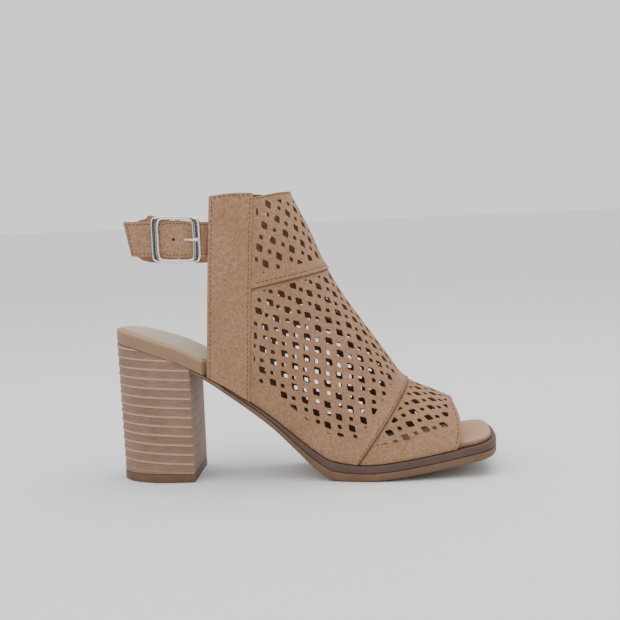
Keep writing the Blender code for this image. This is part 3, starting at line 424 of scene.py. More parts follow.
class Finish(Enum):
    """The finishes that the pieces wear."""

    SUEDE = "suede_nap"
    CUT_EDGE_AND_SHADE = "suede_cut_edge"
    LINING = "suede_lining"
    INSOLE = "footbed_suede"
    SOCK = "sock_leather"
    THREAD = "sewing_thread"
    STACK = "stacked_leather"
    LIFT = "heel_rubber"
    WELT = "welt_rubber"
    OUTSOLE = "outsole_rubber"
    NICKEL = "polished_nickel"


class Nodes:
    """Adds nodes to one tree and joins them in few words."""

    def __init__(self, tree: bpy.types.NodeTree) -> None:
        """Keep the tree that the nodes go into."""
        self.tree = tree

    def feed(self, node: bpy.types.Node, inputs: dict) -> None:
        """Set a node's inputs, by name or number, to values or to the sockets that feed them."""
        for name, value in inputs.items():
            if isinstance(value, bpy.types.NodeSocket):
                self.tree.links.new(value, node.inputs[name])
            else:
                node.inputs[name].default_value = value

    def add(self, kind: str, inputs: dict | None = None, **settings: object) -> bpy.types.Node:
        """Add a node.

        Args:
            kind: The node's type name.
            inputs: Socket name or number to a value, or to a socket that feeds it.
            settings: Values of the node's own properties.

        Returns:
            The new node.
        """
        node = self.tree.nodes.new(kind)
        for name, value in settings.items():
            setattr(node, name, value)
        self.feed(node, inputs or {})
        return node

    def place(self) -> bpy.types.NodeSocket:
        """Places on the surface, in the object's own metres."""
        return self.add("ShaderNodeTexCoord").outputs["Object"]

    def stored(self, name: str) -> bpy.types.NodeSocket:
        """A value that is stored on the mesh's points."""
        return self.add("ShaderNodeAttribute", attribute_name=name).outputs["Fac"]

    def maths(self, operation: str, *values: object) -> bpy.types.NodeSocket:
        """The result of one sum on values or sockets."""
        node = self.add("ShaderNodeMath", dict(enumerate(values)), operation=operation)
        return node.outputs[0]

    def blend(self, *parts: tuple[object, float]) -> bpy.types.NodeSocket:
        """The sum of values, each times its weight."""
        total, *others = [self.maths("MULTIPLY", value, weight) for value, weight in parts]
        for other in others:
            total = self.maths("ADD", total, other)
        return total

    def spread(self, value: object, base: float, span: float) -> bpy.types.NodeSocket:
        """A base plus a span times a value."""
        return self.maths("ADD", base, self.maths("MULTIPLY", value, span))

    def noise(self, vector: object, scale: float, detail: float = 2.0) -> bpy.types.NodeSocket:
        """A noise value around a half."""
        inputs = {"Vector": vector, "Scale": scale, "Detail": detail}
        return self.add("ShaderNodeTexNoise", inputs).outputs["Fac"]

    def mix(self, share: object, first: object, second: object) -> bpy.types.NodeSocket:
        """A colour between two others."""
        inputs = {0: share, 6: first, 7: second}
        return self.add("ShaderNodeMix", inputs, data_type="RGBA").outputs[2]

    def ramp(self, value: object, low: float = 0.3, high: float = 0.7) -> bpy.types.NodeSocket:
        """0 below one value, 1 above another, and smooth between."""
        inputs = {"Value": value, "From Min": low, "From Max": high}
        node = self.add("ShaderNodeMapRange", inputs, interpolation_type="SMOOTHSTEP")
        return node.outputs[0]


class SocketKind(Enum):
    """The sockets that a shared group may have."""

    FLOAT = "NodeSocketFloat"
    COLOUR = "NodeSocketColor"
    VECTOR = "NodeSocketVector"


class EffectGroups:
    """The shader node groups that more than one finish uses, each built once."""

    outputs = {"Colour": SocketKind.COLOUR, "Height": SocketKind.FLOAT,
               "Roughness": SocketKind.FLOAT}
    soot = (0.05, 0.025, 0.012, 1.0)
    glow = (0.95, 0.72, 0.52, 1.0)
    # Dark brown of the painted shade in the seams and on the footbed's side.
    painted_shade_brown = (0.045, 0.022, 0.012, 1.0)

    def __init__(self) -> None:
        """Build both groups."""
        self.nap = self.build_nap()
        self.speckle = self.build_speckle()

    def start(self, name: str, inputs: dict[str, SocketKind]) -> tuple[Nodes, bpy.types.Node]:
        """Open an empty group that puts out a colour, a height and a roughness.

        Args:
            name: The group's name.
            inputs: Its inputs and their kinds.

        Returns:
            The node helper and the group's input node.
        """
        tree = bpy.data.node_groups.new(name, "ShaderNodeTree")
        for way, sockets in (("INPUT", inputs), ("OUTPUT", self.outputs)):
            for title, kind in sockets.items():
                tree.interface.new_socket(name=title, in_out=way, socket_type=kind.value)
        nodes = Nodes(tree)
        return nodes, nodes.add("NodeGroupInput")

    def close(self, nodes: Nodes, *effects: bpy.types.NodeSocket) -> bpy.types.NodeTree:
        """Put out the colour, the height and the roughness."""
        nodes.add("NodeGroupOutput", dict(zip(self.outputs, effects)))
        return nodes.tree

    def build_nap(self) -> bpy.types.NodeTree:
        """Brushed suede: fine fibres, a soft mottle, and painted shade where the stored shade value
        is set.
        """
        nodes, given = self.start("nap", {
            "Vector": SocketKind.VECTOR, "Colour": SocketKind.COLOUR,
            "Shade": SocketKind.FLOAT, "Contrast": SocketKind.FLOAT})
        vector, colour, shade, contrast = list(given.outputs)[:4]
        fibre = nodes.noise(vector, 1150.0, 3.0)
        grain = nodes.noise(vector, 620.0)
        mottle = nodes.noise(vector, 75.0, 3.0)
        swell = nodes.noise(vector, 22.0)
        fine = nodes.blend((nodes.ramp(fibre), 0.5), (nodes.ramp(grain), 0.5))
        broad = nodes.blend((nodes.ramp(mottle, -0.3, 1.3), 0.5),
                            (nodes.ramp(swell, -0.1, 1.1), 0.5))
        dark = nodes.mix(contrast, colour, self.soot)
        light = nodes.mix(contrast, colour, self.glow)
        brushed = nodes.mix(broad, nodes.mix(fine, dark, colour), nodes.mix(fine, colour, light))
        # Painted shade: the stored shade value darkens the suede towards a dark brown in the seams
        # and on the footbed's side.
        painted_shaded = nodes.mix(nodes.maths("MULTIPLY", shade, 0.8), brushed, self.painted_shade_brown)
        height = nodes.blend((fibre, 0.6), (grain, 0.6))
        return self.close(nodes, painted_shaded, height, nodes.spread(grain, 0.86, 0.12))

    def build_speckle(self) -> bpy.types.NodeTree:
        """A smooth surface's faint mottle and rub marks."""
        nodes, given = self.start("speckle", {
            "Vector": SocketKind.VECTOR, "Colour": SocketKind.COLOUR,
            "Rubbed": SocketKind.COLOUR, "Scale": SocketKind.FLOAT})
        vector, colour, rubbed, scale = list(given.outputs)[:4]
        fine = nodes.noise(vector, nodes.maths("MULTIPLY", scale, 6.0), 3.0)
        broad = nodes.noise(vector, scale, 3.0)
        mark = nodes.blend((nodes.ramp(broad, 0.35, 0.75), 0.6), (nodes.ramp(fine, 0.4, 0.8), 0.3))
        return self.close(nodes, nodes.mix(mark, colour, rubbed), fine,
                          nodes.spread(broad, 0.45, 0.3))

    @staticmethod
    def wear(tree: bpy.types.NodeTree, nodes: Nodes, shader: bpy.types.Node, inputs: dict,
             strength: float, depth: float) -> None:
        """Put a group into a material and let it drive the shader.

        Args:
            tree: The group.
            nodes: The material's node helper.
            shader: The Principled shader.
            inputs: The group's values, apart from the place.
            strength: How strongly its height shows.
            depth: The height's size.
        """
        effect = nodes.add("ShaderNodeGroup", {"Vector": nodes.place(), **inputs}, node_tree=tree)
        bump = nodes.add("ShaderNodeBump", {"Strength": strength, "Distance": depth,
                                            "Height": effect.outputs["Height"]})
        nodes.feed(shader, {"Base Color": effect.outputs["Colour"],
                            "Roughness": effect.outputs["Roughness"],
                            "Normal": bump.outputs[0]})


def open_material(name: str) -> tuple[bpy.types.Material, Nodes, bpy.types.Node]:
    """A new material with its node helper and its Principled shader."""
    material = bpy.data.materials.new(name)
    material.use_nodes = True
    return material, Nodes(material.node_tree), material.node_tree.nodes["Principled BSDF"]


class Recipe:
    """A finish that can be made into a material."""

    def build(self, name: str, groups: EffectGroups) -> bpy.types.Material:
        """Make the material, with the shared groups at hand."""
        material, nodes, shader = open_material(name)
        self.paint(nodes, shader, groups)
        return material


@dataclass(frozen=True)
class SuedeFinish(Recipe):
    """A napped leather, brushed lighter and darker."""

    colour: Colour
    contrast: float = 0.2
    bump: float = 0.35
    sheen: float = 0.12

    def paint(self, nodes: Nodes, shader: bpy.types.Node, groups: EffectGroups) -> None:
        """Wire the nap into the shader."""
        inputs = {"Colour": (*self.colour, 1.0), "Shade": nodes.stored("shade"),
                  "Contrast": self.contrast}
        groups.wear(groups.nap, nodes, shader, inputs, self.bump, 0.3 * MM)
        nodes.feed(shader, {"Sheen Weight": self.sheen, "Sheen Roughness": 0.45,
                            "Sheen Tint": (1.0, 0.86, 0.74, 1.0), "Specular IOR Level": 0.15})


@dataclass(frozen=True)
class SmoothFinish(Recipe):
    """Rubber, thread or smooth leather, with faint marks."""

    colour: Colour
    rubbed: Colour
    scale: float = 60.0
    bump: float = 0.1

    def paint(self, nodes: Nodes, shader: bpy.types.Node, groups: EffectGroups) -> None:
        """Wire the speckle into the shader."""
        inputs = {"Colour": (*self.colour, 1.0), "Rubbed": (*self.rubbed, 1.0),
                  "Scale": self.scale}
        groups.wear(groups.speckle, nodes, shader, inputs, self.bump, 0.2 * MM)
        nodes.feed(shader, {"Specular IOR Level": 0.35})


@dataclass(frozen=True)
class StackFinish(Recipe):
    """Stacked leather: brown layers with pale ridges between them, brushed lengthwise."""

    layer: Colour = (0.18, 0.10, 0.062)
    layer_light: Colour = (0.30, 0.185, 0.125)
    ridge: Colour = (0.53, 0.375, 0.28)

    def paint(self, nodes: Nodes, shader: bpy.types.Node, groups: EffectGroups) -> None:
        """Wire the layers into the shader, without a shared group."""
        place = nodes.place()
        long = nodes.add("ShaderNodeMapping", {"Vector": place, "Scale": (0.3, 0.3, 2.2)})
        grain = nodes.noise(long.outputs[0], 520.0, 4.0)
        pores = nodes.noise(place, 1500.0)
        broad = nodes.noise(place, 60.0, 3.0)
        blend = nodes.blend((nodes.ramp(grain), 0.45), (nodes.ramp(broad), 0.3),
                            (nodes.ramp(pores), 0.25))
        body = nodes.mix(blend, (*self.layer, 1.0), (*self.layer_light, 1.0))
        faded = nodes.maths("MULTIPLY", nodes.stored("crest"), nodes.spread(grain, 0.55, 0.6))
        bump = nodes.add("ShaderNodeBump", {"Strength": 0.25, "Distance": 0.3 * MM,
                                            "Height": nodes.maths("ADD", grain, pores)})
        nodes.feed(shader, {"Base Color": nodes.mix(faded, body, (*self.ridge, 1.0)),
                            "Normal": bump.outputs[0], "Roughness": 0.6,
                            "Specular IOR Level": 0.3})


@dataclass(frozen=True)
class MetalFinish(Recipe):
    """Polished nickel with hair-fine marks."""

    colour: Colour = (0.80, 0.79, 0.76)
    dulled: Colour = (0.70, 0.69, 0.66)

    def paint(self, nodes: Nodes, shader: bpy.types.Node, groups: EffectGroups) -> None:
        """Wire the marks into the shader, without a shared group."""
        place = nodes.place()
        marks = nodes.noise(place, 900.0, 3.0)
        cloud = nodes.ramp(nodes.noise(place, 200.0), 0.3, 0.8)
        tint = nodes.mix(cloud, (*self.colour, 1.0), (*self.dulled, 1.0))
        nodes.feed(shader, {"Base Color": tint, "Roughness": nodes.spread(marks, 0.07, 0.14),
                            "Metallic": 1.0})


FINISHES = {
    Finish.SUEDE: SuedeFinish((0.30, 0.155, 0.083), contrast=0.3, bump=0.5),
    # Cut edges: their own dark colour, made darker still as painted shade on the hole walls.
    Finish.CUT_EDGE_AND_SHADE: SuedeFinish((0.085, 0.038, 0.02), sheen=0.0),
    Finish.LINING: SuedeFinish((0.12, 0.065, 0.04), sheen=0.0),
    Finish.INSOLE: SuedeFinish((0.46, 0.29, 0.175), contrast=0.15),
    Finish.SOCK: SmoothFinish((0.47, 0.385, 0.29), (0.54, 0.45, 0.35), bump=0.15),
    Finish.THREAD: SmoothFinish((0.115, 0.053, 0.027), (0.17, 0.085, 0.046), scale=800.0),
    Finish.STACK: StackFinish(),
    Finish.LIFT: SmoothFinish((0.115, 0.06, 0.034), (0.165, 0.092, 0.055)),
    Finish.WELT: SmoothFinish((0.085, 0.05, 0.038), (0.12, 0.075, 0.06)),
    Finish.OUTSOLE: SmoothFinish((0.145, 0.08, 0.045), (0.20, 0.118, 0.07)),
    Finish.NICKEL: MetalFinish(),
}


class Wardrobe:
    """Every finish as a material, made once."""

    def __init__(self) -> None:
        """Build the shared groups and the materials."""
        groups = EffectGroups()
        self.made = {key: finish.build(key.value, groups) for key, finish in FINISHES.items()}

    def __getitem__(self, finish: Finish) -> bpy.types.Material:
        """The material of a finish."""
        return self.made[finish]

    def suede_set(self) -> list[bpy.types.Material]:
        """Suede, its cut edges and its lining, in the order of the material slots."""
        return [self[key] for key in (Finish.SUEDE, Finish.CUT_EDGE_AND_SHADE, Finish.LINING)]


def grid_sheet(rows: int, columns: int) -> tuple[bmesh.types.BMesh, bmesh.types.BMLayerItem]:
    """An open sheet of quads whose points remember their row and column.

    Args:
        rows: Points along the first direction.
        columns: Points along the second.

    Returns:
        The bmesh and the layer that numbers its points, row by row.
    """
    bm = bmesh.new()
    seat = bm.verts.layers.int.new("seat")
    bmesh.ops.create_grid(bm, x_segments=rows - 1, y_segments=columns - 1, size=1.0)
    for vert in bm.verts:
        row = round((vert.co.x + 1) / 2 * (rows - 1))
        column_number = round((vert.co.y + 1) / 2 * (columns - 1))
        vert[seat] = row * columns + column_number
    return bm, seat


def settle(verts: Sequence[bmesh.types.BMVert], seat: bmesh.types.BMLayerItem,
           points: Array) -> None:
    """Move points to their places by their numbers."""
    flat = points.reshape(-1, 3)
    for vert in verts:
        vert.co = flat[vert[seat]]


def raise_faces(bm: bmesh.types.BMesh, faces: Sequence[bmesh.types.BMFace],
                keep: bool) -> tuple[list, list]:
    """Extrude faces as one region.

    Args:
        bm: The mesh.
        faces: The faces to extrude.
        keep: Whether the first faces stay, to close the shape.

    Returns:
        The new faces and the new points.
    """
    made = bmesh.ops.extrude_face_region(bm, geom=list(faces), use_keep_orig=True)["geom"]
    if not keep:
        bmesh.ops.delete(bm, geom=list(faces), context="FACES")
    return ([item for item in made if isinstance(item, bmesh.types.BMFace)],
            [item for item in made if isinstance(item, bmesh.types.BMVert)])


def stacked_levels(levels: Sequence[Array], lined: bool = False) -> bmesh.types.BMesh:
    """A closed shape through levels of points, each a grid of rows and columns.

    Args:
        levels: The grids, from the innermost or lowest on.
        lined: Whether the first level takes the lining's material slot.

    Returns:
        The closed shape.
    """
    rows, columns = levels[0].shape[:2]
    bm, seat = grid_sheet(rows, columns)
    settle(bm.verts, seat, levels[0])
    faces = back = list(bm.faces)
    for number, level in enumerate(levels[1:]):
        faces, verts = raise_faces(bm, faces, number == 0)
        settle(verts, seat, level)
    if lined:
        for face in back:
            face.material_index = LINING_SLOT
    close_up(bm)
    return bm


def close_up(bm: bmesh.types.BMesh) -> None:
    """Merge points that ran together and turn the faces outwards."""
    bmesh.ops.remove_doubles(bm, verts=bm.verts, dist=MERGE_DISTANCE)
    bmesh.ops.dissolve_degenerate(bm, edges=bm.edges, dist=SHORTEST_EDGE)
    bmesh.ops.recalc_face_normals(bm, faces=bm.faces)


def to_object(name: str, bm: bmesh.types.BMesh, materials: Sequence[bpy.types.Material],
              angle: float = SMOOTH_ANGLE) -> bpy.types.Object:
    """A scene object from a bmesh, shaded smooth apart from its sharp edges.

    Args:
        name: The object's name.
        bm: The mesh, which is used up.
        materials: The materials of its slots.
        angle: The angle in degrees above which an edge stays sharp.

    Returns:
        The new object.
    """
    mesh = bpy.data.meshes.new(name)
    bm.to_mesh(mesh)
    bm.free()
    for material in materials:
        mesh.materials.append(material)
    mesh.shade_smooth()
    mesh.set_sharp_from_angle(angle=math.radians(angle))
    item = bpy.data.objects.new(name, mesh)
    bpy.context.scene.collection.objects.link(item)
    return item


def carve(item: bpy.types.Object, cutter: bpy.types.Object, angle: float = SMOOTH_ANGLE) -> None:
    """Take a cutter's volume out of an object for good, and drop the cutter."""
    modifier = item.modifiers.new("carve", "BOOLEAN")
    modifier.operation = "DIFFERENCE"
    modifier.solver = "MANIFOLD"
    modifier.object = cutter
    depsgraph = bpy.context.evaluated_depsgraph_get()
    mesh = bpy.data.meshes.new_from_object(item.evaluated_get(depsgraph))
    item.modifiers.clear()
    item.data = mesh
    mesh.set_sharp_from_angle(angle=math.radians(angle))
    bpy.data.objects.remove(cutter)


def shade_by(item: bpy.types.Object, name: str, value: Callable[[Array], Array]) -> None:
    """Store a value on every point of a mesh, worked out from where the points lie."""
    mesh = item.data
    places = np.zeros(len(mesh.vertices) * 3)
    mesh.vertices.foreach_get("co", places)
    attribute = mesh.attributes.new(name, "FLOAT", "POINT")
    attribute.data.foreach_set("value", value(places.reshape(-1, 3)).astype(np.float32))


def unshaded(places: Array) -> Array:
    """No shade anywhere."""
    return np.zeros(len(places))


def mount(item: bpy.types.Object, slot: str, *nodes: str) -> None:
    """Let a piece ride on the part, and stand for nodes of it."""
    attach(item, BODY)
    if nodes:
        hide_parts(*nodes)
    item.data.calc_loop_triangles()
    LOG.info("%s: %d triangles", item.name, len(item.data.loop_triangles))


@dataclass
class StitchRow:
    """A row of sewn stitches along a line on a surface."""

    length: float = 2.0 * MM
    pitch: float = 2.6 * MM
    width: float = 0.7 * MM
    height: float = 0.44 * MM
    sides: int = 6
    rings: int = 4

    def sew(self, bm: bmesh.types.BMesh, points: Array, normals: Array) -> None:
        """Add the stitches to a bmesh.

        Args:
            bm: The mesh that takes them.
            points: The line, one point in each row.
            normals: The surface's outward direction at each point.
        """
        travel = travelled(points)
        count = int(travel[-1] / self.pitch)
        for number in range(count):
            goal = (number + 0.5) * travel[-1] / count
            ends = [read_off(goal + half * self.length / 2, travel, points) for half in (-1, 1)]
            outward = Vector(read_off(goal, travel, normals)).normalized()
            ahead = Vector(ends[1] - ends[0]).normalized()
            across = outward.cross(ahead).normalized()
            outward = ahead.cross(across)
            turn = Matrix((ahead, across, outward)).transposed().to_4x4()
            size = Matrix.Diagonal((self.length / 2, self.width / 2, self.height / 2, 1.0))
            middle = Matrix.Translation(Vector(read_off(goal, travel, points)))
            bmesh.ops.create_uvsphere(bm, u_segments=self.sides, v_segments=self.rings,
                                      radius=1.0, matrix=middle @ turn @ size)


COLLAR_EDGE = 0
INSTEP_SEAM = np.float64(1)
TOE_SEAM = np.float64(2)
TOE_EDGE = 3
HOLE_ROWS = range(-8, 14)
HOLES_PER_ROW = 14


class Lattice(NamedTuple):
    """How the perforations lie on one panel, in metres and degrees."""

    origin: float
    angle: float
    lean: float
    pitch_along: float
    pitch_across: float
    start_along: float
    start_across: float


class HoleSize(Enum):
    """The two sizes of perforation, as length and width."""

    LARGE = (6.5 * MM, 4.3 * MM)
    SMALL = (3.8 * MM, 2.7 * MM)


@dataclass
class Panel:
    """One perforated panel of the upper: a wall with a folded edge that laps over the next."""

    name: str
    first: float
    last: float
    lattice: Lattice
    count: int
    first_margin: float
    last_margin: float
    foot_margin: float
    under_lap: float = 0.0
    dip: float = 0.0
    dip_reach: float = 0.6
    fold_step: float = 0.0
    rows: int = 58
    wall: float = 1.5 * MM
    fold_reach: float = 8 * MM
    fold_round: float = 0.45 * MM
    seam_line: float = 2.2 * MM
    edge_line: float = 1.3 * MM
    band_margin: float = 2.0 * MM
    short: float = 0.975
    near: tuple = (0.0, 0.08, 0.2, 0.45, 0.8, 1.2, 1.6, 2.0, 2.4, 2.9, 4.0, 5.5)
    sections: int = 13
    tuck_rate: float = 60.0
    foot_tuck: float = 0.5 * MM
    lap_drop: float = 0.15 * MM
    lap_tuck: float = 0.25 * MM
    lap_thin: float = 0.12 * MM
    fold_turn: float = 0.2 * MM
    fold_groove: Dent = Dent(0.38 * MM, 0.6 * MM)
    toe_turn: float = 0.8 * MM
    toe_round: float = 0.8 * MM
    toe_bead: Dent = Dent(0.35 * MM, 1.6 * MM)
    toe_groove: Dent = Dent(0.22 * MM, 0.5 * MM)
    collar_turn: float = 1.0 * MM
    collar_round: float = 0.7 * MM
    collar_bead: Dent = Dent(0.5 * MM, 0.9 * MM)
    collar_groove: Dent = Dent(0.3 * MM, 0.45 * MM)
    seam_shade: Dent = Dent(0.85, 0.55 * MM)
    seam_offset: float = 0.1 * MM
    edge_share: float = 0.985
    cut_reach: float = 4 * MM
    cut_corner: float = 0.14
    smallest_cut: float = 0.5 * MM * MM
    cut_below: float = 3.2 * MM
    cut_length: float = 5.6 * MM
    ridge_zone: float = 6 * MM

    def grid(self) -> tuple[Array, Array, Array, Array, Array]:
        """The panel's own net.

        Returns:
            Panel place, share and side of every point, and its distances from the first edge
            and from the last.
        """
        across = np.linspace(-1, 1, 2 * self.rows + 1)
        share, side = across ** 2, np.where(across < 0, -1, 1)
        steps = np.linspace(self.first, self.last, self.sections)
        x, z = LAST.section(steps[:, None], share[None, :])
        line = LAST.skin(x, z, side[None, :])
        length = np.linalg.norm(np.diff(line, axis=0), axis=2).sum(axis=0)
        edge = np.array(self.near) * MM
        fill = np.linspace(0, 1, self.count + 1)[1:, None]
        begin = self.dip * eased(share / self.dip_reach) - self.under_lap
        head = edge[:, None] + begin[None, :]
        tail = length[None, :] - edge[::-1, None]
        middle = head[-1] + fill[:-1] * (tail[0] - head[-1])
        travel = np.concatenate((head, middle, tail), axis=0)
        panel = self.first + travel / length[None, :] * (self.last - self.first)
        ones = np.ones_like(panel)
        from_first = travel - begin[None, :]
        to_last = length[None, :] - travel
        return panel, share[None, :] * ones, side[None, :] * ones, from_first, to_last

    def rise(self, panel: Array, from_first: Array, to_last: Array) -> Array:
        """How far the outer face stands off the plain form."""
        rise = self.fold_step * eased(1 - to_last / self.fold_reach) * np.ones_like(panel)
        if self.fold_step:
            turn = self.fold_step + self.fold_turn
            rise -= turn * (1 - rounded(to_last, self.fold_round))
            rise -= self.fold_groove.at(to_last - self.seam_line)
        if self.under_lap:
            rise -= self.lap_drop * (panel < self.first)
            rise -= self.lap_tuck * np.exp(-np.abs(panel - self.first) * self.tuck_rate)
        if self.last == TOE_EDGE:
            rise += self.toe_bead.at(to_last)
            rise -= self.toe_turn * (1 - rounded(to_last, self.toe_round))
            rise -= self.toe_groove.at(to_last - self.seam_line)
        if self.first == COLLAR_EDGE:
            rise += self.collar_bead.at(from_first)
            rise -= self.collar_turn * (1 - rounded(from_first, self.collar_round))
            rise -= self.collar_groove.at(from_first - self.edge_line)
        return rise

    def faces(self) -> tuple[Array, Array]:
        """The outer and the inner face as grids of points."""
        panel, share, side, from_first, to_last = self.grid()
        reach = np.where(LAST.fan_foot(panel) < 1, self.short, 1.0)
        x, z = LAST.section(panel, share * reach)
        points = LAST.skin(x, z, side)
        normals = LAST.normals(points, side)
        rise = self.rise(panel, from_first, to_last) + creased(points)
        tuck = self.foot_tuck * np.exp(-(1 - share) * self.tuck_rate)
        outer = points + normals * (rise - tuck)[..., None]
        wall = self.wall - self.lap_thin * (panel < self.first)
        inner = points - normals * wall[..., None]
        on_sole = (share > 0.999) & (LAST.fan_foot(panel) >= 1)
        for face in (outer, inner):
            face[..., 2] = np.where(on_sole, LAST.feather(face[..., 0]) + LAST.gap, face[..., 2])
        return outer, inner

    def edge_path(self, from_last: float, lift: float) -> tuple[Array, Array]:
        """A line across the panel, beside its last edge or, if negative, its first.

        Args:
            from_last: The distance from the last edge, or minus that from the first.
            lift: How far the line stands off the outer face.

        Returns:
            The line's points and the outward directions there.
        """
        _, share, side, from_first, to_last = self.grid()
        outer, _ = self.faces()
        travel = -to_last if from_last > 0 else from_first
        points = np.array([read_off(-from_last, travel[:, number], outer[:, number])
                           for number in range(share.shape[1])])
        normals = LAST.normals(points, side[0])
        keep = (share[0] < self.edge_share) & in_front_of_band(points)
        return points[keep] + normals[keep] * lift, normals[keep]

    def margins(self, x: Array, z: Array) -> list[Array]:
        """How far points lie inside each of the panel's perforated zone's sides."""
        first = beside(LAST.ridge_point(self.first), LAST.foot_point(self.first), x, z)
        last = -beside(LAST.ridge_point(self.last), LAST.foot_point(self.last), x, z)
        if self.last == TOE_EDGE:
            last = last + LAST.toe_bow * 0.6
        foot = LAST.feather(LAST.band_front_foot)
        band = -beside((LAST.band_front_foot, foot), (LAST.band_front_top, LAST.topline()), x, z)
        sole = (z - LAST.feather(x)) - self.foot_margin
        return [first - self.first_margin, last - self.last_margin, band - self.band_margin, sole]

    def hole_centres(self, shift: float) -> list[tuple[float, float, int]]:
        """The middles of one set of holes.

        Args:
            shift: 0 for the large holes, a half for the small ones between them.

        Returns:
            For each hole its x, its z and its side.
        """
        lattice = self.lattice
        origin_x = LAST.place(lattice.origin)
        origin = np.array((origin_x, LAST.ridge(origin_x)))
        angle = math.radians(lattice.angle)
        along = np.array((math.cos(angle), math.sin(angle)))
        across = np.array((math.sin(angle), -math.cos(angle))) + lattice.lean * along
        reach = np.linspace(-40 * MM, 120 * MM, 3000)
        centres = []
        for row in HOLE_ROWS:
            base = origin + (lattice.start_along + (row + shift) * lattice.pitch_along) * along
            x, z = base[0] + reach * across[0], base[1] + reach * across[1]
            begin = int(np.argmax(LAST.round_share(x, z) > 0))
            for side in Side:
                points = LAST.skin(x, z, side.value)[begin:]
                travel = travelled(points)
                for number in range(HOLES_PER_ROW):
                    goal = lattice.start_across + (number + shift) * lattice.pitch_across
                    on_ridge = goal < 0.3 * lattice.pitch_across
                    if goal < 0 or goal > travel[-1] or (on_ridge and side is Side.INNER):
                        continue
                    spot = read_off(goal, travel, points)
                    centres.append((float(spot[0]), float(spot[2]), side.value))
        return centres

    def punch(self, bm: bmesh.types.BMesh, centre: tuple[float, float, int],
              size: HoleSize) -> None:
        """Add one hole's cutter, clipped to the perforated zone."""
        x, z, side = centre
        zone = self.margins(np.float64(x), np.float64(z))
        if min(np.min(value) for value in zone) < -self.cut_reach:
            return
        middle = LAST.skin(np.float64(x), np.float64(z), side)
        normal = LAST.normals(middle, side)
        angle = math.radians(self.lattice.angle)
        ahead = np.array((math.cos(angle), 0.0, math.sin(angle)))
        slope = LAST.skin(x + ahead[0] * MM, z + ahead[2] * MM, side) - middle
        if abs(middle[1]) > self.ridge_zone:
            ahead = slope
        ahead = ahead - normal * ahead.dot(normal)
        ahead /= np.linalg.norm(ahead)
        across = np.cross(normal, ahead)
        length, width = size.value
        out = 1 - self.cut_corner
        shape = []
        for low, high in ((1, 0), (0, 1), (-1, 0), (0, -1)):
            for turn in (-self.cut_corner, self.cut_corner):
                a, b = length / 2 * (low * out - high * turn), width / 2 * (high * out + low * turn)
                shape.append(middle + ahead * a + across * b)
        for number in range(len(zone)):
            shape = self.clip(shape, number)
        if len(shape) < 3 or polygon_area(shape, normal) < self.smallest_cut:
            return
        base = bm.faces.new([bm.verts.new(point - normal * self.cut_below) for point in shape])
        _, verts = raise_faces(bm, [base], True)
        bmesh.ops.translate(bm, vec=Vector(normal * self.cut_length), verts=verts)

    def clip(self, shape: list[Array], number: int) -> list[Array]:
        """Cut a polygon at one side of the perforated zone."""
        kept = []
        inside = [float(self.margins(point[0], point[2])[number]) for point in shape]
        for place, point in enumerate(shape):
            after = (place + 1) % len(shape)
            if inside[place] >= 0:
                kept.append(point)
            if (inside[place] >= 0) != (inside[after] >= 0):
                share = inside[place] / (inside[place] - inside[after])
                kept.append(point + share * (shape[after] - point))
        return kept

    def build(self, wardrobe: Wardrobe) -> bpy.types.Object:
        """Make the panel with its holes, and let it ride."""
        outer, inner = self.faces()
        materials = wardrobe.suede_set()
        bm = stacked_levels((inner, outer), lined=True)
        item = to_object(f"upper_{self.name}", bm, materials)
        cutters = bmesh.new()
        for size, shift in ((HoleSize.LARGE, 0.0), (HoleSize.SMALL, 0.5)):
            for centre in self.hole_centres(shift):
                self.punch(cutters, centre, size)
        # The hole walls take the cut-edge finish, which is partly painted shade.
        for face in cutters.faces:
            face.material_index = CUT_SLOT
        bmesh.ops.recalc_face_normals(cutters, faces=cutters.faces)
        carve(item, to_object("cutters", cutters, materials))
        shade_by(item, "shade", self.shade)
        mount(item, "suede", "upper")
        return item

    def shade(self, places: Array) -> Array:
        """Painted shade, darker in the seams and just under a folded edge."""
        value = np.zeros(len(places))
        for seam in (INSTEP_SEAM, TOE_SEAM):
            away = beside(LAST.ridge_point(seam), LAST.foot_point(seam), places[:, 0], places[:, 2])
            value += self.seam_shade.at(away - self.seam_offset)
        return np.clip(value, 0, 1)


class Crease(NamedTuple):
    """A soft crease: its middle, its direction, and its size."""

    x: float
    z: float
    angle: float
    reach: float
    width: float
    depth: float
    bend: float
    side: Side

    def at(self, points: Array) -> Array:
        """How far it moves the surface: a trough between two low swells."""
        run = (math.cos(math.radians(self.angle)), math.sin(math.radians(self.angle)))
        dx, dz = points[..., 0] - self.x, points[..., 2] - self.z
        along = dx * run[0] + dz * run[1]
        away = -dx * run[1] + dz * run[0] + self.bend * along ** 2
        on_side = eased(points[..., 1] * self.side.value / (12 * MM))
        fade = np.exp(-(along / self.reach) ** 2) * on_side
        wave = np.exp(-(away / self.width) ** 2)
        swell = 0.45 * np.exp(-((np.abs(away) - 1.8 * self.width) / self.width) ** 2)
        return self.depth * fade * (swell - wave)


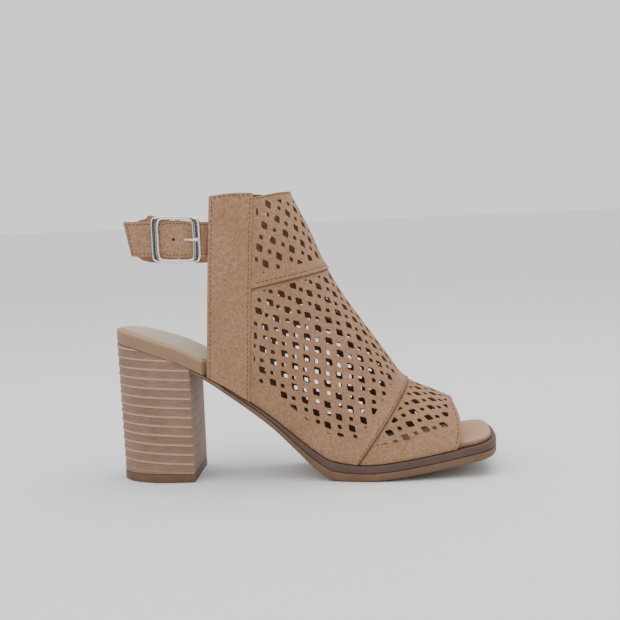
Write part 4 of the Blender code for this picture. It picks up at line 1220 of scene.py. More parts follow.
CREASES = (
    Crease(-10 * MM, 56 * MM, -48.0, 14 * MM, 3.5 * MM, 0.35 * MM, 6.0, Side.OUTER),
    Crease(8 * MM, 33 * MM, -30.0, 12 * MM, 3.0 * MM, 0.30 * MM, -8.0, Side.OUTER),
    Crease(34 * MM, 27 * MM, 12.0, 13 * MM, 2.8 * MM, 0.30 * MM, 8.0, Side.OUTER),
    Crease(30 * MM, 64 * MM, 35.0, 12 * MM, 3.2 * MM, 0.28 * MM, 5.0, Side.OUTER),
    Crease(-8 * MM, 58 * MM, -46.0, 15 * MM, 3.5 * MM, 0.35 * MM, 5.0, Side.INNER),
    Crease(20 * MM, 30 * MM, -10.0, 15 * MM, 3.2 * MM, 0.35 * MM, -6.0, Side.INNER),
    Crease(34 * MM, 60 * MM, 30.0, 12 * MM, 3.0 * MM, 0.28 * MM, 5.0, Side.INNER),
)


def creased(points: Array) -> Array:
    """How far all the creases together move points of the surface."""
    depth = np.zeros(points.shape[:-1])
    for crease in CREASES:
        depth += crease.at(points)
    return depth


def polygon_area(shape: Sequence[Array], normal: Array) -> float:
    """The area of a flat polygon."""
    total = np.zeros(3)
    for first, second in zip(shape[1:], shape[2:]):
        total += np.cross(first - shape[0], second - shape[0])
    return abs(float(total.dot(normal))) / 2


def in_front_of_band(points: Array) -> Array:
    """Whether points lie clear of the quarter band, towards the toe."""
    edge = LAST.band_edge(points[:, 2], LAST.band_front_foot, LAST.band_front_top)
    return points[:, 0] > edge + 1.0 * MM


PANELS = (
    Panel("collar", 0, 1, Lattice(0.483, -63.5, 0.0, 9.6 * MM, 8.87 * MM, 1.6 * MM, 0.0),
          count=14, first_margin=4.6 * MM, last_margin=7.4 * MM, foot_margin=0.0,
          dip=2.8 * MM, fold_step=0.9 * MM),
    Panel("instep", 1, 2, Lattice(0.575, -50.0, -0.095, 9.47 * MM, 8.15 * MM, 4.6 * MM,
                                  4.35 * MM),
          count=34, first_margin=2.0 * MM, last_margin=8.0 * MM, foot_margin=15.5 * MM,
          under_lap=4 * MM, fold_step=0.9 * MM),
    Panel("toe", 2, 3, Lattice(0.775, -20.0, 0.0, 9.3 * MM, 7.9 * MM, -2.6 * MM, 1.9 * MM),
          count=16, first_margin=2.2 * MM, last_margin=5.5 * MM, foot_margin=11.5 * MM,
          under_lap=4 * MM),
)


@dataclass
class QuarterBand:
    """The plain folded band at the back of the upper, on one side."""

    side: Side
    height: float = 1.0 * MM
    inner: float = 1.75 * MM
    over_top: float = -0.5 * MM
    top_bow: float = 0.8 * MM
    top_fall: float = 0.9 * MM
    over_back: float = 0.5 * MM
    edge_round: float = 0.7 * MM
    front_line: float = 1.5 * MM
    back_line: float = 2.0 * MM
    near: tuple = (0.0, 0.1, 0.25, 0.5, 0.8, 1.1, 1.5, 1.9, 2.4, 3.2)
    long_count: int = 70
    cross_count: int = 16
    front_turn: float = 0.1 * MM
    open_turn: float = 1.2 * MM
    open_thin: float = 0.8 * MM
    front_groove: Dent = Dent(0.25 * MM, 0.45 * MM)
    back_groove: Dent = Dent(0.22 * MM, 0.45 * MM)
    edge_bead: Dent = Dent(0.12 * MM, 1.0 * MM)

    def edges(self, z: Array) -> tuple[Array, Array]:
        """The x of the band's back and front edges at given heights."""
        back = LAST.band_edge(z, LAST.band_back_foot, LAST.band_back_top) - self.over_back
        return back, LAST.band_edge(z, LAST.band_front_foot, LAST.band_front_top)

    def net(self) -> tuple[Array, Array, Array, Array, Array]:
        """The band's net of points.

        Returns:
            x, z, and the distances from the back edge, the front edge and the top.
        """
        near = np.array(self.near) * MM
        top = LAST.topline() + self.over_top
        wide = (LAST.band_front_top - LAST.band_back_top) + self.over_back
        inside = np.linspace(near[-1], wide - near[-1], self.cross_count)[1:-1]
        across = np.concatenate((near, inside, wide - near[::-1])) / wide
        low = np.linspace(1, 0, self.long_count)[:-1]
        span = top - near[-1]
        x = np.zeros((len(near) + len(low), len(across)))
        z = np.zeros_like(x)
        for number, share in enumerate(across):
            slope = self.top_fall * (1 - share) - self.top_bow * 4 * share * (1 - share)
            foot_back, foot_front = LAST.band_back_foot - self.over_back, LAST.band_front_foot
            foot = LAST.feather(foot_back + share * (foot_front - foot_back)) + LAST.gap
            heights = np.concatenate((top - slope - near, foot + low * (span - slope - foot)))
            back, front = self.edges(heights)
            x[:, number] = back + share * (front - back)
            z[:, number] = heights
        to_back = across[None, :] * wide + 0 * x
        from_top = z.max(axis=0)[None, :] - z
        return x, z, to_back, wide - to_back, from_top

    def faces(self) -> tuple[Array, Array]:
        """The outer and the inner face as grids of points."""
        x, z, to_back, to_front, from_top = self.net()
        side = self.side.value
        points = LAST.skin(x, z, side)
        normals = LAST.normals(points, side)
        open_edge = np.minimum(to_back, from_top)
        edge = np.minimum(open_edge, to_front)
        turned = 1 - rounded(open_edge, self.edge_round)
        rise = self.height * np.ones_like(x)
        rise -= (self.height + self.front_turn) * (1 - rounded(to_front, self.edge_round))
        rise -= self.open_turn * turned
        rise -= self.front_groove.at(to_front - self.front_line)
        rise -= self.back_groove.at(to_back - self.back_line)
        rise += self.edge_bead.at(edge)
        outer = points + normals * rise[..., None]
        inset = self.inner - self.open_thin * turned
        inner = points - normals * inset[..., None]
        for face in (outer, inner):
            face[-1, :, 2] = LAST.feather(face[-1, :, 0]) + LAST.gap
        return outer, inner

    def build(self, wardrobe: Wardrobe) -> bpy.types.Object:
        """Make the band and let it ride."""
        outer, inner = self.faces()
        bm = stacked_levels((inner, outer), lined=True)
        name = f"quarter_band_{self.side.name.lower()}"
        item = to_object(name, bm, wardrobe.suede_set())
        shade_by(item, "shade", unshaded)
        mount(item, "suede", "upper")
        return item

    def stitch_lines(self) -> list[tuple[Array, Array]]:
        """The rows of stitches beside the front edge and the back edge."""
        x, z, to_back, to_front, from_top = self.net()
        outer, _ = self.faces()
        lines = []
        for distance, places in ((self.front_line, to_front), (self.back_line, to_back)):
            column_number = int(np.argmin(np.abs(places[0] - distance)))
            keep = from_top[:, column_number] > self.back_line
            points = outer[keep, column_number]
            lines.append((points, LAST.normals(points, self.side.value)))
        row = int(np.argmin(np.abs(np.array(self.near) * MM - self.front_line)))
        inside = (to_back[row] > self.back_line) & (to_front[row] > self.front_line)
        points = outer[row, inside]
        lines.append((points, LAST.normals(points, self.side.value)))
        return lines


@dataclass
class Upper:
    """The whole upper with its stitching."""

    wardrobe: Wardrobe
    sink: float = 0.02 * MM

    def build(self) -> None:
        """Make panels, bands and stitch rows."""
        row = StitchRow()
        threads = bmesh.new()
        for panel in PANELS:
            panel.build(self.wardrobe)
            row.sew(threads, *panel.edge_path(panel.seam_line, -self.sink))
            if panel.first == 0:
                row.sew(threads, *panel.edge_path(-panel.edge_line, -self.sink))
        for side in Side:
            band = QuarterBand(side)
            band.build(self.wardrobe)
            for points, normals in band.stitch_lines():
                row.sew(threads, points, normals)
        item = to_object("upper_stitching", threads, [self.wardrobe[Finish.THREAD]])
        mount(item, "suede")


class Level(NamedTuple):
    """One level of a slab: how far it is pulled in, and its height over the floor."""

    inset: float
    height: Callable


def between(low: Callable, high: Callable, share: float) -> Callable:
    """A height part of the way between two others."""
    return lambda x: low(x) + share * (high(x) - low(x))


def flat(height: float) -> Callable:
    """The same height everywhere."""
    return lambda x: height + 0 * x


def edge_levels(low: Callable, high: Callable, edge: float,
                profile: Sequence[tuple[float, float]]) -> list[Level]:
    """The levels of a plate with rounded edges.

    Args:
        low: The plate's underside.
        high: Its upper face.
        edge: The size of its rounding.
        profile: For each level its inset in edge sizes, and its share of the thickness.

    Returns:
        The levels from the underside up.
    """
    heights = {0.0: low, 1.0: high}
    return [Level(inset * edge, heights.get(share, between(low, high, share)))
            for inset, share in profile]


@dataclass
class Slab:
    """A plate that follows the sole's outline, built in levels."""

    start: float
    end: float
    levels: Sequence[Level]
    half_width: Callable = LAST.sole_half
    crown: Callable = lambda x, across: 0.0
    steps: int = 110
    turns: int = 22
    columns: int = 13
    even_steps: int = 0

    def places(self) -> Array:
        """Places along the slab, even or closer together round heel and toe."""
        if self.even_steps:
            return np.linspace(self.start, self.end, self.even_steps)
        heel, toe = -LAST.length / 2, LAST.length / 2
        turn = np.radians(np.linspace(0, 90, self.turns))
        back = heel + LAST.heel_round * (1 - np.cos(turn))
        front = toe - LAST.toe_round * (1 - np.cos(turn) ** (2 / LAST.toe_squareness))
        middle = np.linspace(heel + LAST.heel_round, toe - LAST.toe_round, self.steps)
        every = np.concatenate(((self.start, self.end), back, middle, front))
        every = np.unique(np.round(every, 7))
        return every[(every >= self.start) & (every <= self.end)]

    def mesh(self) -> bmesh.types.BMesh:
        """The slab as a closed mesh."""
        places = self.places()
        span = self.end - self.start
        round_start = self.start <= -LAST.length / 2 + MM
        round_end = self.end >= LAST.length / 2 - 4 * MM
        across = np.sin(np.radians(np.linspace(-90, 90, self.columns)))
        side = np.where(across < 0, -1, 1)
        grids = []
        for number, level in enumerate(self.levels):
            first = self.start + (level.inset if round_start else 0)
            last = self.end - (level.inset if round_end else 0)
            x = first + (places - self.start) / span * (last - first)
            half = self.half_width(x[:, None], side[None, :], level.inset)
            z = level.height(x)[:, None] + 0 * half
            if number == len(self.levels) - 1:
                z = z + self.crown(x[:, None], across[None, :])
            grids.append(np.stack((x[:, None] + 0 * half, half * across[None, :], z), axis=-1))
        return stacked_levels(grids)


@dataclass
class Sole:
    """The outsole and the welt over it."""

    wardrobe: Wardrobe
    breast: float = -64.5 * MM
    welt_start: float = -44 * MM
    welt_share: float = 0.45
    welt_start_share: float = 0.4
    welt_growth: float = 40 * MM
    welt_lead: float = 5 * MM
    edge: float = 0.7 * MM

    def welt_thickness(self, x: Array) -> Array:
        """The welt thins out towards the arch."""
        grow = np.clip((x - self.welt_start) / self.welt_growth, 0, 1)
        share = self.welt_start_share + (1 - self.welt_start_share) * grow
        return self.welt_share * share * (LAST.feather(x) - LAST.tread(x))

    def outsole_top(self, x: Array) -> Array:
        """The outsole reaches up at the arch and steps down under the welt."""
        step = np.clip((x - self.welt_start) / self.welt_lead + 1, 0, 1)
        return LAST.feather(x) - LAST.gap / 2 - step * (self.welt_thickness(x) + LAST.gap)

    def welt_top(self, x: Array) -> Array:
        """The welt's upper face."""
        return LAST.feather(x) - LAST.gap / 2

    def welt_base(self, x: Array) -> Array:
        """The welt's lower face."""
        return self.welt_top(x) - self.welt_thickness(x)

    def build(self) -> None:
        """Make both pieces and let them ride."""
        toe = LAST.length / 2
        levels = edge_levels(LAST.tread, self.outsole_top, self.edge, (
            (2.2, 0.0), (1.2, 0.06), (0.5, 0.18), (0.1, 0.35), (0.0, 0.7), (0.1, 0.92), (0.6, 1.0)))
        sole = Slab(self.breast + LAST.gap, toe, levels).mesh()
        materials = [self.wardrobe[Finish.OUTSOLE]]
        mount(to_object("outsole_body", sole, materials, PLATE_ANGLE), "outsole", "outsole")
        levels = edge_levels(self.welt_base, self.welt_top, self.edge, (
            (0.5, 0.0), (0.12, 0.1), (0.0, 0.3), (0.0, 0.7), (0.3, 0.92), (0.9, 1.0)))
        welt = Slab(self.welt_start, toe, levels).mesh()
        mount(to_object("welt_strip", welt, [self.wardrobe[Finish.WELT]], PLATE_ANGLE), "welt",
              "welt")


@dataclass
class Heel:
    """The stacked block with its ridged layers, and the rubber piece under it."""

    wardrobe: Wardrobe
    breast: float = -64.5 * MM
    taper: float = 0.96
    lift: float = 5 * MM
    layers: int = 14
    ridge: float = 0.42 * MM
    tilt: float = math.radians(3.5)
    first: float = 1.7 * MM
    edge: float = 0.7 * MM
    foot_inset: float = 0.2 * MM
    profile: tuple = ((0.0, 1.0), (0.06, 0.25), (0.14, 0.0), (0.24, 0.25), (0.31, 0.9), (0.6, 1.1))
    start_share: float = 0.2
    crest_share: float = 0.13
    crest_half: float = 0.03
    crest_fade: float = 0.11
    front_crest: float = 0.25
    cut_margin: float = 3 * MM
    cut_height: float = 100 * MM
    layer_angle: float = 40.0

    def inset(self, z: float) -> float:
        """The block is a little narrower at the floor than at the seat."""
        return (1 - self.taper) * LAST.ankle_width / 2 * (1 - min(z / LAST.heel_height, 1))

    @staticmethod
    def half_width(x: Array, side: Array, inset: float) -> Array:
        """The block's outline, straight from its round back to its breast."""
        to_heel = 1 - np.clip((x + LAST.length / 2 - inset) / LAST.heel_round, 0, 1)
        return (LAST.outline(0.0, side) - inset) * np.sqrt(1 - to_heel ** 2)

    def layer_height(self, level: float) -> Callable:
        """The height of a layer's line, which falls towards the front."""
        middle = (self.breast - LAST.length / 2) / 2
        return lambda x: level - (x - middle) * math.tan(self.tilt)

    def build(self) -> None:
        """Make both pieces and let them ride."""
        pitch = (LAST.heel_height - self.lift) / self.layers
        base = self.lift + LAST.gap
        levels = [Level(self.inset(base) + self.foot_inset, flat(base))]
        for layer in range(self.layers + 1):
            for share, groove in self.profile:
                level = base + self.first + (layer + share - self.start_share) * pitch
                if level > base + self.first:
                    levels.append(Level(self.inset(level) + groove * self.ridge,
                                        self.layer_height(level)))
        slab = Slab(-LAST.length / 2, self.breast, levels, self.half_width, turns=24, columns=7)
        stack = [self.wardrobe[Finish.STACK]]
        block = to_object("heel_layers", slab.mesh(), stack, self.layer_angle)

        def seat(x: Array) -> Array:
            """The height that the block is cut to under the footbed."""
            return LAST.feather(x) - LAST.gap / 2

        margin = self.cut_margin
        cutter = Slab(-LAST.length / 2 - margin, self.breast + margin,
                      [Level(-margin, seat), Level(-margin, lambda x: seat(x) + self.cut_height)],
                      lambda x, side, inset: LAST.ball_width + 0 * x * side, even_steps=60)
        carve(block, to_object("seat_cut", cutter.mesh(), stack), self.layer_angle)
        shade_by(block, "crest", lambda places: self.crest(places, base, pitch))
        mount(block, "heel_stack", "heel_stack")
        low = self.inset(0)
        edge = self.edge
        levels = [Level(low + 0.9 * edge, flat(0)), Level(low + 0.25 * edge, flat(0.25 * edge)),
                  Level(low, flat(edge)), Level(low, flat(self.lift - 0.3 * edge)),
                  Level(low + 0.3 * edge, flat(self.lift))]
        lift = Slab(-LAST.length / 2, self.breast, levels, self.half_width, turns=30).mesh()
        mount(to_object("heel_top_piece", lift, [self.wardrobe[Finish.LIFT]], PLATE_ANGLE),
              "heel_lift", "heel_lift")

    def crest(self, places: Array, base: float, pitch: float) -> Array:
        """1 on the pale ridges, 0 on the layers between them."""
        middle = (self.breast - LAST.length / 2) / 2
        level = places[:, 2] + (places[:, 0] - middle) * math.tan(self.tilt) - base - self.first
        share = np.mod(level / pitch + self.start_share, 1.0)
        away = np.abs(share - self.crest_share)
        on_front = places[:, 0] > self.breast - 0.5 * MM
        fading = eased((away - self.crest_half) / self.crest_fade)
        return (1 - fading) * np.where(on_front, self.front_crest, 1.0)


@dataclass
class Footbed:
    """The wrapped footbed board and the lining glued on it."""

    wardrobe: Wardrobe
    thickness: float = 8.4 * MM
    margin: float = 0.4 * MM
    back_notch: float = 2.6 * MM
    toe_notch: float = 6 * MM
    toe_margin: float = 3 * MM
    slant: float = 1.1
    wall: float = 1.5 * MM
    sock_thickness: float = 1 * MM
    sock_margin: float = 4 * MM
    sock_end: float = 0.56
    sock_round: float = 12 * MM
    edge: float = 0.7 * MM
    pad_start: float = 60 * MM
    pad_growth: float = 30 * MM
    pad_height: float = 0.8 * MM
    share: Curve = field(default_factory=lambda: Curve((0.0, 0.26, 0.42, 0.60, 1.0),
                                                       (1.0, 1.0, 0.75, 0.5, 0.36)))

    def base(self, x: Array) -> Array:
        """The board's underside."""
        return LAST.feather(x) + LAST.gap / 2

    def top(self, x: Array) -> Array:
        """The surface the foot stands on."""
        return self.base(x) + self.thickness * self.share(LAST.share(x))

    def half_width(self, x: Array, side: Array, inset: float) -> Array:
        """Flush with the seat behind the upper, and inside its walls further on."""
        open_width = LAST.sole_half(x, side, inset + self.margin)
        back = LAST.band_back_foot
        tucked = np.clip((x - back + self.back_notch) / self.back_notch * 2, 0, 1)
        foot = np.abs(LAST.skin_y(x, LAST.feather(x) + LAST.gap, side))
        above = np.abs(LAST.skin_y(x, self.top(x), side))
        within = np.minimum(foot, above) - self.wall * self.slant - 3 * LAST.gap - inset
        toe = LAST.place(LAST.fan_ridge(3.0))
        freed = np.clip((x - toe - LAST.toe_bow) / self.toe_notch, 0, 1)
        free = LAST.sole_half(x, side, inset + self.toe_margin)
        within = np.where(freed < 1, np.minimum(within, free), free)
        tucked_width = within + freed * (free - within)
        return open_width + tucked * (tucked_width - open_width)

    def side_shade(self, places: Array) -> Array:
        """Painted shade: the wrapped side is darker than the padded top."""
        below = self.top(places[:, 0]) - places[:, 2]
        return 0.5 * eased(below / (1.6 * MM))

    def toe_pad(self, x: Array, across: Array) -> Array:
        """The soft crown of the footbed under the toes."""
        forward = eased((x - self.pad_start) / self.pad_growth)
        return forward * self.pad_height * (1 - across ** 4)

    def build(self) -> None:
        """Make both pieces and let them ride."""
        levels = edge_levels(self.base, self.top, self.edge, (
            (0.4, 0.0), (0.0, 0.12), (0.0, 0.7), (0.25, 0.87), (0.8, 0.96), (1.8, 1.0)))
        start, end = -LAST.length / 2 + self.margin, LAST.length / 2 - self.toe_margin
        slab = Slab(start, end, levels, self.half_width, self.toe_pad)
        board = to_object("footbed_wrap", slab.mesh(), [self.wardrobe[Finish.INSOLE]], PLATE_ANGLE)
        shade_by(board, "shade", self.side_shade)
        mount(board, "insole", "insole")
        sock_start = -LAST.length / 2 + self.sock_margin
        sock_end = LAST.place(self.sock_end)

        def half(x: Array, side: Array, inset: float) -> Array:
            """The lining's half width, rounded off at its front end."""
            tip = np.clip((sock_end - x) / self.sock_round, 0, 1)
            width = self.half_width(x, side, self.sock_margin)
            return (width - inset) * np.sqrt(1 - (1 - tip) ** 2) + LAST.gap

        def over(lift: float) -> Callable:
            """A height over the footbed's top."""
            return lambda x: self.top(x) + lift

        levels = [Level(0.0, over(-0.3 * MM)), Level(0.0, over(0.5 * self.sock_thickness)),
                  Level(0.3 * MM, over(0.85 * self.sock_thickness)),
                  Level(0.9 * MM, over(self.sock_thickness))]
        sock = Slab(sock_start, sock_end, levels, half).mesh()
        mount(to_object("sock_skin", sock, [self.wardrobe[Finish.SOCK]], PLATE_ANGLE),
              "sock_lining", "sock_lining")


@dataclass
class Buckle:
    """The buckle's place and its metal: a frame with a centre bar, and a prong."""

    x: float = -67 * MM
    set_in: float = 1.5 * MM
    length: float = 29 * MM
    height: float = 26.6 * MM
    thickness: float = 2.3 * MM
    side_bar: float = 4.6 * MM
    end_bar: float = 2.1 * MM
    bar_radius: float = 1.2 * MM
    prong_radius: float = 0.8 * MM
    slot_far: float = 9.6 * MM
    prong_short: float = 0.4 * MM
    power: float = 0.26
    strap_height: float = 140.4 * MM
    climb: float = math.radians(2.4)
    strap_thickness: float = 1.6 * MM
    sling_thickness: float = 1.3 * MM
    sling_back: float = -94.3 * MM
    sling_squareness: float = 3.0
    steps: int = 144
    section: tuple = ((0.0, -0.42), (0.0, 0.05), (0.05, 0.3), (0.14, 0.45), (0.24, 0.5),
                      (0.36, 0.44), (0.64, 0.44), (0.76, 0.5), (0.86, 0.45), (0.95, 0.3),
                      (1.0, 0.05), (1.0, -0.42), (0.9, -0.5), (0.1, -0.5))
    hook_steps: int = 12
    hook_start: float = -150.0
    hook_turn: float = 240.0

    def tuck_x(self) -> float:
        """Where the straps come out from under the quarters."""
        return float(LAST.band_edge(self.strap_height, LAST.band_back_foot, LAST.band_back_top))

    def sling_half(self) -> float:
        """Half the sling's inner width."""
        return LAST.ankle_width / 2 - 1.5 * MM - LAST.gap - self.sling_thickness / 2

    def sling_y(self, x: float) -> float:
        """The strap's path round the ankle, half of it, seen from above."""
        reach = (self.tuck_x() - x) / (self.tuck_x() - self.sling_back)
        reach = min(max(reach, 0.0), 1.0)
        power = self.sling_squareness
        return self.sling_half() * (1 - reach ** power) ** (1 / power)

    def plan_point(self, back: float, out: float) -> Array:
        """A point in plan, back along the strap and outward from the centre bar."""
        step = self.length / 2
        rise = self.sling_y(self.x + step) - self.sling_y(self.x - step)
        run = np.array((-2 * step, rise))
        run /= np.linalg.norm(run)
        outward = np.array((-abs(run[1]), -abs(run[0])))
        centre = np.array((self.x, self.set_in - self.sling_y(self.x)))
        return centre + run * back + outward * out

    def line_height(self, x: float) -> float:
        """The middle of the buckle strap, which climbs a little towards its tip."""
        return self.strap_height + math.tan(self.climb) * (self.tuck_x() - x)

    def place(self, back: float, out: float, up: float) -> Vector:
        """A point given from the middle of the centre bar."""
        x, y = self.plan_point(back, out)
        return Vector((x, y, self.line_height(self.x) + up + back * math.tan(self.climb)))

    def under_bars(self) -> float:
        """How far out the strap's middle lies under the side bars."""
        return LAST.gap * 1.5 + self.sling_thickness + self.strap_thickness / 2

    def over_bar(self) -> float:
        """How far out the strap's middle lies over the centre bar."""
        return self.bar_radius + 2 * LAST.gap + self.sling_thickness + self.strap_thickness / 2

    def frame_middle(self) -> float:
        """How far out the middle of the frame's metal lies."""
        return self.under_bars() + self.strap_thickness / 2 + LAST.gap + self.thickness / 2

    def frame_grid(self) -> Array:
        """Rings of points round the frame's section."""
        middle = self.frame_middle()
        section = self.section
        rings = []
        for step in range(self.steps + 1):
            turn = 2 * math.pi * step / self.steps
            cosine, sine = math.cos(turn), math.sin(turn)
            ring = []
            for inset, out in (*section, section[0]):
                half_length = self.length / 2 - inset * self.side_bar
                half_height = self.height / 2 - inset * self.end_bar
                back = half_length * math.copysign(abs(cosine) ** self.power, cosine)
                up = half_height * math.copysign(abs(sine) ** self.power, sine)
                ring.append(self.place(back, middle + out * self.thickness, up))
            rings.append(ring)
        return np.array(rings)

    def build(self, wardrobe: Wardrobe) -> None:
        """Make the frame with its bar, and the prong, and let them ride."""
        rings = self.frame_grid()
        bm, seat = grid_sheet(rings.shape[0], rings.shape[1])
        settle(bm.verts, seat, rings)
        close_up(bm)
        bar = self.height / 2 - self.end_bar / 2
        low, high = self.place(0, 0, -bar), self.place(0, 0, bar)
        self.rod(bm, low, high, self.bar_radius)
        middle = self.frame_middle()
        for up in (-bar, bar):
            self.rod(bm, self.place(0, -self.bar_radius, up), self.place(0, middle, up),
                     0.45 * self.end_bar)
        mount(to_object("buckle_frame_metal", bm, [wardrobe[Finish.NICKEL]], 30), "nickel",
              "buckle_frame")
        mount(self.prong(wardrobe), "nickel", "buckle_prong")

    @staticmethod
    def rod(bm: bmesh.types.BMesh, start: Vector, end: Vector, radius: float) -> None:
        """Add a round bar between two points."""
        run = end - start
        turn = run.to_track_quat("Z", "Y").to_matrix().to_4x4()
        where = Matrix.Translation((start + end) / 2) @ turn
        bmesh.ops.create_cone(bm, cap_ends=True, segments=20, radius1=radius, radius2=radius,
                              depth=run.length, matrix=where)

    def prong(self, wardrobe: Wardrobe) -> bpy.types.Object:
        """The prong, hooked over the centre bar and resting on the side bar."""
        radius = self.bar_radius + LAST.gap + self.prong_radius
        rest = (self.under_bars() + self.strap_thickness / 2 + 2 * LAST.gap + self.thickness
                + self.prong_radius)
        route = []
        for step in range(self.hook_steps + 1):
            turn = math.radians(self.hook_start + self.hook_turn * step / self.hook_steps)
            route.append((radius * math.cos(turn), radius * math.sin(turn)))
        route.append((-1.1 * radius, radius + LAST.gap))
        route.append((-self.slot_far / 2 - LAST.gap, 0.5 * rest))
        route.append((-self.length / 2 + self.side_bar, rest))
        route.append((-self.length / 2 + self.prong_short, rest))
        curve = bpy.data.curves.new("buckle_prong_metal", "CURVE")
        curve.dimensions = "3D"
        curve.bevel_depth = self.prong_radius
        curve.bevel_resolution = 6
        curve.use_fill_caps = True
        spline = curve.splines.new("POLY")
        spline.points.add(len(route) - 1)
        for point, (back, out) in zip(spline.points, route):
            point.co = (*self.place(back, out, 0.0), 1.0)
        drawn = bpy.data.objects.new("drawn_prong", curve)
        bpy.context.scene.collection.objects.link(drawn)
        depsgraph = bpy.context.evaluated_depsgraph_get()
        mesh = bpy.data.meshes.new_from_object(drawn.evaluated_get(depsgraph))
        bpy.data.objects.remove(drawn)
        bm = bmesh.new()
        bm.from_mesh(mesh)
        close_up(bm)
        return to_object("buckle_prong_metal", bm, [wardrobe[Finish.NICKEL]], 50)


class StrapPoint(NamedTuple):
    """One place along a strap: in plan, its height, its width and its slant."""

    x: float
    y: float
    z: float
    width: float
    slant: float = 0.0


@dataclass
class Strap:
    """A flat strap that stands on its edge along a path, with rounded edges."""

    points: Sequence[StrapPoint]
    thickness: float
    steps: int = 150
    near: tuple = (0.0, 0.06, 0.18, 0.4, 0.75, 1.2, 1.7, 2.2)
    tips: tuple = (0.06, 0.2, 0.45, 0.8)
    line: float = 1.55 * MM
    groove: Dent = Dent(0.2 * MM, 0.45 * MM)

    def axes(self) -> tuple[Array, Array, Array, Array, Array]:
        """The strap's middle line.

        Returns:
            Its points, outward directions, widths, slants, and distances from the nearer end.
        """
        rows = np.array(self.points)
        travel = travelled(rows[:, :2])
        goal = np.linspace(0, travel[-1], self.steps)
        end = travel[-1]
        tips = np.array(self.tips) * MM
        goal = np.sort(np.concatenate((goal, tips, end - tips)))
        curves = [Curve(travel, rows[:, number])(goal) for number in range(5)]
        line = np.stack(curves[:3], axis=-1)
        ahead = np.gradient(line[:, :2], goal, axis=0)
        ahead /= np.linalg.norm(ahead, axis=1, keepdims=True)
        outward = np.stack((-ahead[:, 1], ahead[:, 0], 0 * goal), axis=-1)
        return line, outward, curves[3], curves[4], np.minimum(goal, end - goal)

    def grids(self) -> tuple[Array, Array, Array, Array]:
        """The strap's two faces, its outward directions, and its distances from an end."""
        line, outward, width, slant, to_end = self.axes()
        near = np.array(self.near) * MM
        half = width[:, None] / 2
        inside = half - near[-1]
        share = np.linspace(1, -1, 9)[None, 1:-1]
        up = np.concatenate((half - near[None, :], inside * share, near[None, ::-1] - half), axis=1)
        to_edge = half - np.abs(up)
        edge = np.minimum(to_edge, to_end[:, None])
        puff = rounded(edge, self.thickness * 0.5)
        groove = self.groove.at(to_edge - self.line)
        base = line[:, None, :] + up[..., None] * np.array((0.0, 0.0, 1.0))
        base[..., 0] += slant[:, None] * up / width[:, None]
        lift = (self.thickness / 2) * puff - groove * puff
        outer = base + outward[:, None, :] * lift[..., None]
        inner = base - outward[:, None, :] * (self.thickness / 2 * puff)[..., None]
        return outer, inner, outward, to_end

    def mesh(self) -> bmesh.types.BMesh:
        """The strap as a closed mesh."""
        outer, inner, _, _ = self.grids()
        return stacked_levels((inner, outer))

    def tip_line(self) -> tuple[Array, Array]:
        """The row of stitches across the strap's free end."""
        outer, _, outward, to_end = self.grids()
        after = int(np.argmin(np.abs(to_end[::-1][:len(outer) // 2] - self.line)))
        row = len(outer) - 1 - after
        points = outer[row, len(self.near) - 1:1 - len(self.near)]
        return points, np.repeat(outward[row][None, :], len(points), axis=0)

    def stitch_lines(self, first: float, last: float) -> list[tuple[Array, Array]]:
        """Rows of stitches along both edges, between two shares of the strap's length."""
        outer, _, outward, _ = self.grids()
        near = np.array(self.near) * MM
        column_number = int(np.argmin(np.abs(near - self.line)))
        rows = slice(int(first * len(outer)), int(last * len(outer)))
        lines = []
        for number in (column_number, outer.shape[1] - 1 - column_number):
            lines.append((outer[rows, number], outward[rows]))
        return lines


